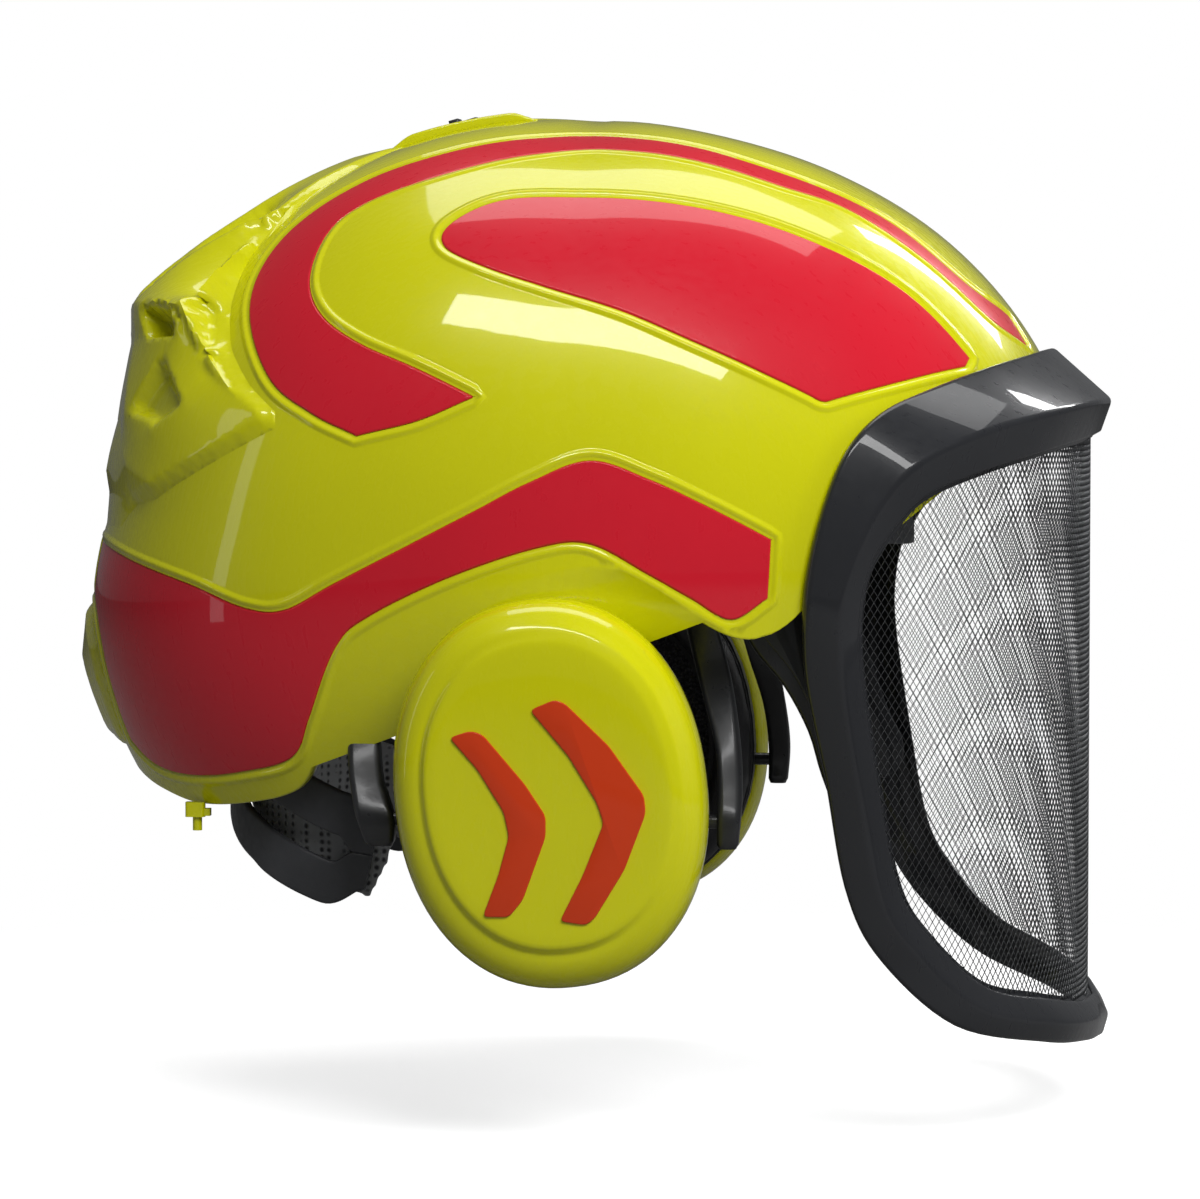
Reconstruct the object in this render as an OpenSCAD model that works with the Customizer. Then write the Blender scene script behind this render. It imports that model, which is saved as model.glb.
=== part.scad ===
// Forestry helmet: outer shell with coloured inlays, suspension, mesh visor and two ear muffs.
// +X is forward, +Y the wearer's left, +Z up. The origin is the centre of the head.

/* [Outer shell] */
// Radius of the dome straight above the head centre
crown_r = 147; // [145:0.5:149]
// Half width of the shell at the height of the head centre
shell_half_w = 112; // [110:0.5:114]
// Thickness of the shell wall
shell_wall = 3.2; // [2.4:0.2:4]
// Squareness of the shell seen from above, where 2 is an ellipse
squareness = 2.25; // [2.2:0.01:2.3]
// How far the coloured inlays stand proud of the shell
inlay_proud = 1; // [0.8:0.1:1.4]

/* [Visor] */
// Half width of the visor across the temples
visor_half_w = 104; // [104:0.5:106]
// Thickness of the visor frame
frame_t = 3.4; // [3:0.1:4]
// Thickness of the visor mesh sheet
mesh_t = 0.8; // [0.6:0.1:1]

/* [Ear muffs] */
// Half length of the ear cup along the head
cup_half_l = 45; // [43:0.5:46]
// Half height of the ear cup
cup_half_h = 56; // [53:0.5:57]
// Distance from the middle of the head to the ear cup's outer face
cup_face_y = 133; // [131:0.5:135]
// Radius of the yoke pins and the cup pins
pin_r = 2; // [1.6:0.1:2.2]
// Radial running clearance of every hinge pin
pin_clear = 0.06; // [0.04:0.01:0.1]

/* [Suspension] */
// Half length of the headband, front to back
band_half_l = 97; // [95:0.5:98]
// Half width of the headband
band_half_w = 77.5; // [75:0.5:78]
// Height of the headband strip
band_h = 26; // [22:1:28]
// Thickness of the headband strip
band_t = 1.8; // [1.4:0.2:2]

/* [Neck cradle] */
// Radius of the adjuster knob
knob_r = 15; // [12:0.5:17]
// Number of grip ribs round the adjuster knob
knob_ribs = 16; // [12:1:20]

/* [Hidden] */
$fn = 48;
shell_columns = 72;
shell_rings = 11;
inlay_gap = 0.35;
waist_gap = 0.6;

// Distance from the head centre to the shell, by elevation angle, at the front, back and sides
front_profile = [[-40, 140], [-20, 146], [0, 150], [15, 153.5], [30, 155], [45, 153.5], [60, 150],
                 [75, crown_r], [90, crown_r]];
rear_profile = [[-40, 140], [-25, 149], [-10, 155], [0, 156], [12, 153], [25, 153.5], [38, 155],
                [52, 154], [65, 151.5], [78, crown_r + 2], [90, crown_r]];
side_profile = [[-40, shell_half_w], [-25, shell_half_w + 0.5], [-10, shell_half_w - 0.5],
                [0, shell_half_w], [12, shell_half_w + 2.5], [25, shell_half_w + 7.5],
                [40, shell_half_w + 15.5], [55, shell_half_w + 25], [70, 144], [90, crown_r]];
// Elevation of the shell's lower edge, by angle from straight ahead
rim_profile = [[0, 22], [20, 21], [35, 19], [43, 16], [49, 11], [53, 5], [57, 0], [61, -2.5],
               [65, -2.5], [70, 0], [76, 4], [82, 7], [88, 7.5], [96, 5.5], [104, 3], [112, 0],
               [118, -3.5], [122, -8], [126, -15], [129, -21], [133, -24], [142, -25], [152, -24.5],
               [160, -22.5], [170, -20], [180, -19]];

// Edges of the inlays as [angle from straight ahead, elevation], matched point by point
crown_inlay_outer = [[9, 33], [17, 39], [23, 50], [34, 60], [49, 69], [66, 74], [90, 77], [113, 74],
                     [129, 68], [141, 62], [149, 55], [151, 47], [147, 38], [138, 31], [128, 26],
                     [119, 24], [111, 27], [103, 31]];
crown_inlay_inner = [[10, 30], [17, 34], [24, 44], [34, 54], [46, 61.5], [60, 67.5], [82, 71],
                     [103, 70], [119, 65], [131, 59.5], [139, 53], [140, 48], [137, 42], [130, 38.5],
                     [123, 36], [116, 34.5], [110, 33], [104, 32]];
front_inlay_top = [[27.5, 30], [34, 39], [40, 45], [50, 50.5], [64, 56.5], [80, 60.5], [97, 61],
                   [110, 58.5], [115.5, 55]];
front_inlay_bottom = [[28, 29.5], [40, 28.3], [49, 28], [57, 31], [69, 38], [81, 43], [94, 46.7],
                      [106, 48.5], [114.5, 51]];
side_inlay_top = [[60, 9.5], [70, 16.5], [77, 20], [84, 23], [90, 22], [96, 19.5], [105, 14.5],
                  [114, 9.5], [123, 4], [130, 1], [136, 1.2], [145, 3.5], [155, 6.5], [164, 7]];
side_inlay_bottom = [[61.5, 3], [66, 0], [74, 4.5], [82, 9.5], [89, 11.3], [96, 10.3], [104, 7],
                     [112, 2.8], [121, -2], [125, -9], [130, -17], [137, -20.6], [148, -20.6],
                     [160, -17.5]];

// Stations of the visor frame from the top centre round to the bottom centre, right side
frame_on_shell = [[0, 29.3], [13, 29], [26, 28.2], [37, 26.8], [45, 24.8], [50.5, 20.5], [54.5, 12.5],
                  [56.5, 3]];
frame_outer = [[70, -105, -16], [76, -104, -46], [82, -103, -78], [92, -101, -98], [114, -93, -118],
               [140, -63, -126.5], [151, -34, -130], [155, 0, -133]];
frame_ridge = [[157, 0, 62], [153, -36, 62], [143, -64, 60], [124, -86, 55], [104, -99, 46],
               [92, -103, 33], [85, -105.5, 18], [81, -106.5, 2], [81, -106, -16], [86, -104.5, -49],
               [92, -102.5, -79], [103, -99, -97], [122, -88, -114], [144, -61, -121],
               [153.5, -33, -124], [157, 0, -126]];
frame_opening = [[153.5, 0, 52], [150, -34, 51], [139, -64, 48], [122, -84, 43], [105, -96, 36],
                 [96, -99.5, 27], [89, -101.5, 16], [86, -102, 3], [86, -102, -14], [91, -100.5, -47],
                 [97, -98.5, -77], [106, -95, -92], [122, -84, -107.5], [139, -61, -113.5],
                 [149.5, -33, -118], [153.5, 0, -120]];
visor_plan_x = 64;
visor_plan_depth = 89;
visor_plan_power = 2.3;
visor_pivot = [15.5, 19];
arm_y = 88.4;
arm_t = 3;
arm_play = 0.7;
mount_t = 2;
visor_pin_r = 2.5;

// Ear muff layout, right side: the yoke swings about its pins, the cup tilts between the yoke's ends
cup_centre = [-1.8, -49];
cup_lean = 7;
cup_ring_y = 100.5;
cup_ring_t = 8;
cup_wall = 2.4;
yoke_axis = [-97, 22];
cup_axis = [-104.5, -58];
slider_y = 95;
slider_t = 3;

// Pegs for a neck cape: a free pin below a foot block
peg_x = -114;
peg_y = 66;
peg_r = 1.4;
peg_top = -61.6;
peg_length = 4.4;

// Suspension heights and places
band_low = 18;
band_x = -2;
strap_foot = band_low + band_h - 8;
front_clip = [90.3, 104];
rear_clip = [-101.6, -94.3];

// Side view of the visor arm, pivot end first
arm_outline = [[8, 14], [8, 24], [13, 27], [24, 30], [36, 40], [50, 37], [64, 25], [71, 6], [76, -14],
               [84, -38], [90, -52], [86, -62], [80, -60], [74, -46], [70, -33], [63, -20], [54, -9],
               [48, 4], [46, 18], [40, 26], [32, 22], [23, 13], [16, 11]];
// Side view of the slider plate that the ear muff's yoke hangs on
slider_outline = [[-36, 60], [-22, 60], [-22, 37], [43, 36], [46, 33], [46, 22], [40.3, 22],
                  [40.3, 28], [-59, 28], [-59, 22], [-64.4, 22], [-64.4, 32], [-61, 35.5], [-36, 37]];
// Side views of the two yoke legs, and their shape seen from the front
yoke_rear_leg = [[-58.7, 24], [-58.7, 12], [-63, -4], [-64.5, -20], [-64, -40], [-61, -54], [-57, -66],
                 [-49, -66], [-48.6, -58], [-53, -46], [-55, -30], [-54.5, -12], [-52, 2], [-52, 24]];
yoke_front_leg = [[33, 24], [33, 8], [35, -6], [39, -22], [43.5, -38], [44.8, -50], [44.8, -64],
                  [51, -64], [52, -52], [51, -38], [48, -20], [44, -4], [40, 8], [40, 24]];
yoke_profile = [[-101, 22], [-101, 16], [-97, 8], [-90.5, -2], [-88, -12], [-90, -24], [-96, -38],
                [-104, -50], [-108, -57], [-108, -66], [-101.4, -66], [-101.4, -58], [-98.5, -50.5],
                [-91.5, -39], [-86, -25], [-84.4, -12], [-86.5, -2.5], [-92.5, 6], [-94, 14],
                [-94, 22]];
// Corners of the ear cup oval
cup_points = 40;
// Middle line of the nape cradle, from one end to the nape
cradle_path = [[-60, -75, -72], [-74, -74, -69], [-92, -66, -60], [-106, -44, -50], [-112, 0, -45]];

// ---- curves and surfaces ----

// Smooth curve through [position, value] knots
function knot_at(knots, t, i = 0) = i >= len(knots) - 2 || t < knots[i + 1][0]
    ? i : knot_at(knots, t, i + 1);
function curve(knots, t) =
    let (i = knot_at(knots, t),
         a = knots[max(i - 1, 0)], b = knots[i], c = knots[i + 1], d = knots[min(i + 2, len(knots) - 1)],
         h = c[0] - b[0], u = (t - b[0]) / h,
         slope_b = (c[1] - a[1]) / (c[0] - a[0]) * h, slope_c = (d[1] - b[1]) / (d[0] - b[0]) * h)
    (2 * u ^ 3 - 3 * u ^ 2 + 1) * b[1] + (u ^ 3 - 2 * u ^ 2 + u) * slope_b
    + (3 * u ^ 2 - 2 * u ^ 3) * c[1] + (u ^ 3 - u ^ 2) * slope_c;

// Smooth curve through points; t runs from 0 to 1
function through(points, t) =
    let (n = len(points) - 1, s = min(t * n, n - 1e-6), i = floor(s), u = s - i,
         b = points[i], c = points[i + 1],
         a = i > 0 ? points[i - 1] : 2 * b - c,
         d = i + 2 <= n ? points[i + 2] : 2 * c - b)
    0.5 * (2 * b + (c - a) * u + (2 * a - 5 * b + 4 * c - d) * u ^ 2 + (3 * b - a - 3 * c + d) * u ^ 3);

function along(a, b, t) = a + (b - a) * t;
function direction(angles) = [cos(angles[1]) * cos(angles[0]), cos(angles[1]) * sin(angles[0]),
                              sin(angles[1])];

// Distance from the head centre to the shell's outside, by angle from ahead and elevation
function shell_radius(ahead, elevation) =
    let (a = cos(ahead) > 0 ? curve(front_profile, elevation) : curve(rear_profile, elevation),
         b = curve(side_profile, elevation),
         q = 2 + (squareness - 2) * cos(elevation))
    pow(pow(abs(cos(ahead)) / a, q) + pow(abs(sin(ahead)) / b, q), -1 / q);
function on_shell(v, offset) =
    let (u = v / norm(v)) u * (shell_radius(atan2(u.y, u.x), asin(u.z)) + offset);
function rim(ahead) = curve(rim_profile, abs(ahead > 180 ? 360 - ahead : ahead));

// Plan outline of the visor: a rounded bow from one temple to the other
function visor_plan(turn, z, offset) =
    [visor_plan_x + (visor_plan_depth + offset) * pow(cos(turn), 2 / visor_plan_power),
     (visor_half_w + offset) * sign(turn) * pow(abs(sin(turn)), 2 / visor_plan_power), z];
function visor_turn(p) =
    atan2(pow(abs(p.y) / visor_half_w, visor_plan_power / 2),
          pow(max(p.x - visor_plan_x, 0) / visor_plan_depth, visor_plan_power / 2));
function visor_normal(p) =
    let (gx = pow(max(p.x - visor_plan_x, 0) / visor_plan_depth, visor_plan_power - 1) / visor_plan_depth,
         gy = sign(p.y) * pow(abs(p.y) / visor_half_w, visor_plan_power - 1) / visor_half_w,
         g = [gx, gy, 0])
    g / norm(g);

// ---- building blocks ----

function volume_sign(points, faces) =
    sign([for (f = faces) points[f[0]] * cross(points[f[1]], points[f[2]])]
         * [for (f = faces) 1]);

// Closed solid through matching sections; an even section is capped like a ladder
module loft(sections, loop = false) {
    n = len(sections[0]);
    m = len(sections);
    points = [for (s = sections) each s];
    sides = [for (i = [0:m - (loop ? 1 : 2)], j = [0:n - 1])
             let (a = i * n + j, b = i * n + (j + 1) % n, c = ((i + 1) % m) * n + (j + 1) % n,
                  d = ((i + 1) % m) * n + j)
             each [[a, b, c], [a, c, d]]];
    ladder = [for (k = [0:n / 2 - 2]) each [[k, n - 1 - k, k + 1], [k + 1, n - 1 - k, n - 2 - k]]];
    last = (m - 1) * n;
    caps = loop ? [] : concat(ladder, [for (f = ladder) [last + f[2], last + f[1], last + f[0]]]);
    faces = concat(sides, caps);
    outward = volume_sign(points, faces) < 0;
    polyhedron(points, outward ? faces : [for (f = faces) [f[2], f[1], f[0]]], convexity = 8);
}

// Thin plate on the shell between two matched edges
module shell_plate(edge_a, edge_b, low, high, steps, strips) {
    a = [for (p = edge_a) direction(p)];
    b = [for (p = edge_b) direction(p)];
    loft([for (i = [0:steps])
          let (p = through(a, i / steps), q = through(b, i / steps))
          concat([for (k = [0:strips]) on_shell(along(p, q, k / strips), high)],
                 [for (k = [strips:-1:0]) on_shell(along(p, q, k / strips), low)])]);
}

// Flat strap swept along points, with its width along one direction at each point
module strap(path, width, thickness, across, steps) {
    loft([for (i = [0:steps])
          let (t = i / steps, p = through(path, t),
               ahead = through(path, min(t + 0.01, 1)) - through(path, max(t - 0.01, 0)),
               w = across - (across * ahead) * ahead / (ahead * ahead),
               wide = w / norm(w) * width / 2,
               thick = cross(ahead, wide) / norm(cross(ahead, wide)) * thickness / 2)
          [p + wide + thick, p - wide + thick, p - wide - thick, p + wide - thick]]);
}

// Ring that follows an oval in plan, with a rectangular section
module oval_band(half_l, half_w, thickness, low, high, centre_x, from, to, steps) {
    closed = to - from >= 360;
    loft([for (i = [0:steps - (closed ? 1 : 0)])
          let (turn = along(from, to, i / steps), c = cos(turn), s = sin(turn))
          [[centre_x + half_l * c, half_w * s, low],
           [centre_x + (half_l + thickness) * c, (half_w + thickness) * s, low],
           [centre_x + (half_l + thickness) * c, (half_w + thickness) * s, high],
           [centre_x + half_l * c, half_w * s, high]]], loop = closed);
}

// Mirrors a right-hand part to the wearer's left
module on_left() { mirror([0, 1, 0]) children(); }

// ---- shell and trim ----

module outer_shell() {
    function ring_point(i, j, offset) =
        let (ahead = i * 360 / shell_columns,
             low = rim(ahead),
             climb = j / shell_rings,
             elevation = along(low, 88.5, pow(climb, 0.92)))
        on_shell(direction([ahead, elevation]), offset);
    top = [0, 0, crown_r];
    top_in = [0, 0, crown_r - shell_wall];
    n = shell_columns;
    m = shell_rings + 1;
    outside = [for (j = [0:shell_rings], i = [0:n - 1]) ring_point(i, j, 0)];
    inside = [for (j = [0:shell_rings], i = [0:n - 1]) ring_point(i, j, -shell_wall)];
    points = concat(outside, inside, [top, top_in]);
    base = n * m;
    walls = [for (s = [0, 1], j = [0:shell_rings - 1], i = [0:n - 1])
             let (a = s * base + j * n + i, b = s * base + j * n + (i + 1) % n, c = b + n, d = a + n)
             each s == 0 ? [[a, c, b], [a, d, c]] : [[a, b, c], [a, c, d]]];
    caps = [for (i = [0:n - 1])
            let (a = (m - 1) * n + i, b = (m - 1) * n + (i + 1) % n)
            each [[a, 2 * base, b], [base + a, base + b, 2 * base + 1]]];
    lip = [for (i = [0:n - 1])
           let (a = i, b = (i + 1) % n)
           each [[a, b, base + b], [a, base + b, base + a]]];
    color([0.8, 0.84, 0]) polyhedron(points, concat(walls, caps, lip), convexity = 8);
}

// Energy-absorbing inner dome, spaced off the outer shell
module inner_liner() {
    thickness = 5;
    turns = 48;
    bands = 6;
    function liner_point(i, j, inward) =
        let (ahead = i * 360 / turns,
             elevation = along(34 - 9 * cos(ahead) ^ 2, 80, j / bands),
             gap = 1.6 + 26 * cos(ahead) ^ 4 * cos(elevation))
        on_shell(direction([ahead, elevation]), -shell_wall - gap - inward);
    color([0.15, 0.15, 0.16])
    loft([for (i = [0:turns - 1])
          concat([for (j = [0:bands]) liner_point(i, j, 0)],
                 [for (j = [bands:-1:0]) liner_point(i, j, thickness)])],
         loop = true);
}

module crown_inlay() {
    color([0.9, 0.1, 0.15])
    shell_plate(crown_inlay_outer, crown_inlay_inner, inlay_gap, inlay_proud, 40, 2);
}

module front_inlay() {
    color([0.9, 0.1, 0.15])
    shell_plate(front_inlay_top, front_inlay_bottom, inlay_gap, inlay_proud, 24, 4);
}

module side_inlay() {
    color([0.9, 0.1, 0.15])
    shell_plate(side_inlay_top, side_inlay_bottom, inlay_gap + waist_gap, inlay_proud + waist_gap, 32, 3);
}

// Stepped cover over the rear ventilation
module rear_vent_cover() {
    ridge = [[12, 2], [17, 5], [23, 4.5], [29, 10], [32.5, 18], [41.5, 12], [50.5, 7.5], [58, 4],
             [64, 2]];
    spread = [[0, 1], [12, 0.9], [21, 0.5], [28, 0.12]];
    bands = 13;
    half_turns = 8;
    color([0.78, 0.82, 0])
    loft([for (k = [-half_turns:half_turns])
          let (away = abs(k) * 3.5)
          concat([for (j = [0:bands])
                  let (e = along(13, 63, j / bands))
                  on_shell(direction([180 + k * 3.5, e]), 0.6 + curve(ridge, e) * curve(spread, away))],
                 [for (j = [bands:-1:0])
                  on_shell(direction([180 + k * 3.5, along(13, 63, j / bands)]), 0.3)])]);
}

// Two low rails on the crown that the vent slider runs between
module vent_rails() {
    color([0.78, 0.82, 0])
    for (side = [-1, 1])
        loft([for (i = [0:8])
              let (p = on_shell([-cos(66 + i * 2), 0, sin(66 + i * 2)], 0))
              [for (c = [[8.5, 0.3], [11, 0.3], [11, 3.2], [8.5, 3.2]])
               p + [0, side * c[0], 0] + p / norm(p) * c[1]]]);
}

module vent_slider() {
    middle = on_shell([-cos(74), 0, sin(74)], 1.5);
    color([0.12, 0.12, 0.13])
    translate(middle) rotate([0, -16, 0]) {
        translate([-9, -7.5, 0]) cube([14, 15, 1.6]);
        translate([-4, -5, 1.2]) cube([3, 10, 1.8]);
    }
}

// Ridged guard plate at the nape end of the shell
module tail_guard() {
    color([0.78, 0.82, 0])
    loft([for (k = [-6:6])
          let (ahead = 180 + k * 2.4, fade = 1 - abs(k) / 7)
          concat([for (j = [0:6]) on_shell(direction([ahead, along(9, -17, j / 6)]), 1 + 5.5 * fade)],
                 [for (j = [6:-1:0]) on_shell(direction([ahead, along(9, -17, j / 6)]), 0.3)])]);
}

// Pegs under the rear rim that a neck cape hangs on
module cape_pegs() {
    color([0.78, 0.82, 0])
    for (side = [-1, 1])
        translate([peg_x, side * peg_y, peg_top]) {
            translate([0, 0, -peg_length]) cylinder(h = peg_length, r = peg_r);
            translate([-peg_r, -peg_r, 0]) cube([5.4, 2 * peg_r, 2.2]);
        }
}

// ---- suspension ----

module headband() {
    color([0.13, 0.13, 0.14])
    oval_band(band_half_l, band_half_w, band_t, band_low, band_low + band_h, band_x, -112, 112, 36);
}

module sweatband() {
    color([0.25, 0.26, 0.27])
    oval_band(band_half_l - 3.5, band_half_w - 3.5, 3.1, band_low + 1, strap_foot - 0.4, band_x,
              -62, 62, 20);
}

module crown_straps() {
    rise = 66;
    color([0.16, 0.16, 0.17]) {
        strap([for (i = [0:8])
               [band_x + (band_half_l - 1.5) * cos(i * 22.5), 0, strap_foot + (rise + 3) * sin(i * 22.5)]],
              18, 1.4, [0, 1, 0], 22);
        strap([for (i = [0:8]) [band_x, (band_half_w - 1.5) * cos(i * 22.5),
                                strap_foot + rise * sin(i * 22.5)]],
              18, 1.4, [1, 0, 0], 22);
    }
}

module crown_pad() {
    color([0.3, 0.31, 0.32])
    translate([band_x, 0, strap_foot + 57])
    rotate_extrude() polygon([[0, 3], [14, 2.2], [24, 0], [26, 1.2], [24, 3], [14, 5.6], [0, 6.4]]);
}

// Clips that join the straps to the inner liner
module strap_clips() {
    color([0.1, 0.1, 0.11])
    for (reach = [front_clip, rear_clip])
        translate([reach[0], -7, 56]) cube([reach[1] - reach[0], 14, 8]);
}

// ---- visor ----

function frame_section(k) =
    let (on = k < len(frame_on_shell),
         outer = on ? on_shell(direction([-frame_on_shell[k][0], frame_on_shell[k][1]]), 1 + frame_t)
                    : frame_outer[k - len(frame_on_shell)],
         outer_in = on ? on_shell(direction([-frame_on_shell[k][0], frame_on_shell[k][1]]), 1)
                       : outer - frame_t * visor_normal(outer),
         ridge = frame_ridge[k],
         opening = frame_opening[k],
         hood = k < 5 ? [0, 0, 0.7] : k > 12 ? [0, 0, -0.4] : [0, 0, 0],
         slope = (visor_normal(ridge) + hood) / norm(visor_normal(ridge) + hood))
    concat(outer, ridge, opening, opening - 2 * visor_normal(opening), ridge - frame_t * slope, outer_in);
function section_points(v, side) = [for (i = [0:5]) [v[3 * i], side * v[3 * i + 1], v[3 * i + 2]]];

module visor_frame() {
    half = [for (k = [0:len(frame_ridge) - 1]) frame_section(k)];
    steps = 32;
    right = [for (i = [0:steps]) section_points(through(half, i / steps), 1)];
    left = [for (i = [steps - 1:-1:1]) section_points(through(half, i / steps), -1)];
    color([0.13, 0.13, 0.14]) loft(concat(right, left), loop = true);
}

module visor_mesh() {
    columns = 16;
    inset = -2.6;
    color([0.55, 0.56, 0.57])
    loft([for (k = [1:len(frame_opening) - 2])
          let (p = frame_opening[k], reach = visor_turn(p) + 1.2)
          concat([for (i = [-columns:2:columns]) visor_plan(reach * i / columns + 1e-4, p.z, inset)],
                 [for (i = [columns:-2:-columns])
                  visor_plan(reach * i / columns + 1e-4, p.z, inset - mesh_t)])]);
}

// Arm that carries the visor from its pivot inside the shell
module visor_arm() {
    color([0.12, 0.12, 0.13]) {
        difference() {
            union() {
                translate([0, -arm_y + arm_t / 2, 0]) rotate([90, 0, 0])
                    linear_extrude(arm_t) polygon(arm_outline);
                translate([79, -100.2, -56]) cube([7, 100.2 - arm_y, 9]);
            }
            translate([visor_pivot[0], -arm_y + 5, visor_pivot[1]]) rotate([90, 0, 0])
                cylinder(h = 10, r = visor_pin_r + pin_clear);
        }
    }
}

// Bracket hanging from the inside of the shell that holds the visor pin
module visor_mount() {
    face_y = arm_y + arm_t / 2 + arm_play;
    color([0.1, 0.1, 0.11])
    difference() {
        union() {
            translate([visor_pivot[0] - 6, -face_y - mount_t, visor_pivot[1] - 6]) cube([12, mount_t, 47]);
            translate([visor_pivot[0] - 6, -101, 50]) cube([12, 101 - face_y, 10]);
        }
        translate([visor_pivot[0], -face_y + 1, visor_pivot[1]]) rotate([90, 0, 0])
            cylinder(h = 4, r = visor_pin_r);
    }
}

module visor_pins() {
    color([0.6, 0.61, 0.62])
    for (side = [-1, 1])
        translate([visor_pivot[0], side * (arm_y - 2.6), visor_pivot[1]]) rotate([side * -90, 0, 0]) {
            cylinder(h = 6.8, r = visor_pin_r);
            translate([0, 0, -1.4]) cylinder(h = 2, r = 4.2);
        }
}

// ---- ear muffs, right side ----

// Cylinder along X between two places, centred on [y, z]
module bar_x(from, to, at, r) {
    translate([from, at[0], at[1]]) rotate([0, 90, 0]) cylinder(h = to - from, r = r);
}

// Plate in the XZ plane between two distances to the right of the middle
module side_plate(outline, from, to) {
    translate([0, -from, 0]) rotate([90, 0, 0]) linear_extrude(to - from) polygon(outline);
}

// Channel fixed to the shell wall, in which the ear slider's tongue runs
module ear_guide() {
    color([0.1, 0.1, 0.11])
    difference() {
        translate([-40, -98.5, 40]) cube([22, 8.5, 18]);
        translate([-36.4, -slider_y - slider_t / 2 - 0.4, 30]) cube([14.8, slider_t + 0.8, 40]);
    }
}

module guide_screws() {
    color([0.6, 0.61, 0.62])
    for (side = [-1, 1], x = [-38.2, -19.8])
        translate([x, side * 89.9, 49]) rotate([side * 90, 0, 0]) cylinder(h = 1.4, r = 1.7);
}

// Bow above the ear cup: its tongue sets the height, its ends hold the yoke pins
module ear_slider() {
    color([0.12, 0.12, 0.13])
    difference() {
        union() {
            side_plate(slider_outline, slider_y - slider_t / 2, slider_y + slider_t / 2);
            bar_x(-64.4, -59, yoke_axis, 3.8);
            bar_x(40.3, 46, yoke_axis, 3.8);
        }
        bar_x(-70, 50, yoke_axis, pin_r);
    }
}

module yoke_pins() {
    color([0.6, 0.61, 0.62]) {
        bar_x(-64.4, -52, yoke_axis, pin_r);
        bar_x(33, 46, yoke_axis, pin_r);
    }
}

// Two legs that hold the ear cup between their ends
module ear_yoke() {
    color([0.14, 0.14, 0.15])
    difference() {
        union() {
            intersection() {
                union() {
                    side_plate(yoke_rear_leg, 70, 120);
                    side_plate(yoke_front_leg, 70, 120);
                }
                translate([-80, 0, 0]) rotate([90, 0, 90]) linear_extrude(150) polygon(yoke_profile);
            }
            bar_x(-58.7, -52, yoke_axis, 4);
            bar_x(33, 40, yoke_axis, 4);
        }
        bar_x(-70, 60, yoke_axis, pin_r + pin_clear);
        bar_x(-70, 60, cup_axis, pin_r);
    }
}

module cup_pins() {
    color([0.6, 0.61, 0.62]) {
        bar_x(-57, -40, cup_axis, pin_r);
        bar_x(36, 51, cup_axis, pin_r);
    }
}

// Leaning oval of the ear cup, scaled about its middle
function cup_oval(scale_l, scale_h) =
    [for (i = [0:cup_points - 1])
     let (turn = i * 360 / cup_points,
          x = cup_half_l * scale_l * sign(cos(turn)) * pow(abs(cos(turn)), 0.92),
          z = cup_half_h * scale_h * sign(sin(turn)) * pow(abs(sin(turn)), 0.92))
     [cup_centre[0] + x * cos(cup_lean) - z * sin(cup_lean),
      cup_centre[1] + x * sin(cup_lean) + z * cos(cup_lean)]];
function at_y(outline, y) = [for (p = outline) [p[0], -y, p[1]]];

// Plate that closes the cup towards the ear, with the opening for the ear
module cup_back() {
    color([0.1, 0.1, 0.11])
    difference() {
        side_plate(cup_oval(0.93, 0.93), cup_ring_y, cup_ring_y + cup_ring_t);
        side_plate(cup_oval(0.6, 0.66), cup_ring_y - 1, cup_ring_y + cup_ring_t + 1);
        bar_x(-70, -38, cup_axis, pin_r + pin_clear);
        bar_x(34, 60, cup_axis, pin_r + pin_clear);
    }
}

// Hard dome of the ear cup, hollow and open towards the ear
module cup_shell() {
    rim_y = cup_ring_y + cup_ring_t + 0.2;
    steps = [[0, 0.93], [3, 0.97], [8, 1], [13, 0.99], [18, 0.95], [21.5, 0.88],
             [cup_face_y - rim_y - 1, 0.78], [cup_face_y - rim_y, 0.7]];
    outer = [for (s = steps) at_y(cup_oval(s[1], s[1]), rim_y + s[0])];
    inner = [for (k = [len(steps) - 2:-1:0])
             let (s = steps[k]) at_y(cup_oval(s[1] - 0.055, s[1] - 0.045),
                                     rim_y + max(s[0] - cup_wall * (k > 4 ? 1 : 0), 0))];
    points = [for (s = concat(outer, inner)) each s];
    n = cup_points;
    rows = len(outer) + len(inner);
    sides = [for (k = [0:rows - 1], i = [0:n - 1])
             let (a = k * n + i, b = k * n + (i + 1) % n, c = ((k + 1) % rows) * n + (i + 1) % n,
                  d = ((k + 1) % rows) * n + i)
             each k == len(outer) - 1 ? [] : [[a, b, c], [a, c, d]]];
    face = (len(outer) - 1) * n;
    floor_in = len(outer) * n;
    ladder = [for (k = [0:n / 2 - 2]) each [[k, k + 1, n - 1 - k], [k + 1, n - 2 - k, n - 1 - k]]];
    caps = concat([for (f = ladder) [face + f[0], face + f[1], face + f[2]]],
                  [for (f = ladder) [floor_in + f[2], floor_in + f[1], floor_in + f[0]]]);
    faces = concat(sides, caps);
    outward = volume_sign(points, faces) < 0;
    color([0.8, 0.84, 0]) polyhedron(points, outward ? faces : [for (f = faces) [f[2], f[1], f[0]]],
                                     convexity = 6);
}

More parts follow.
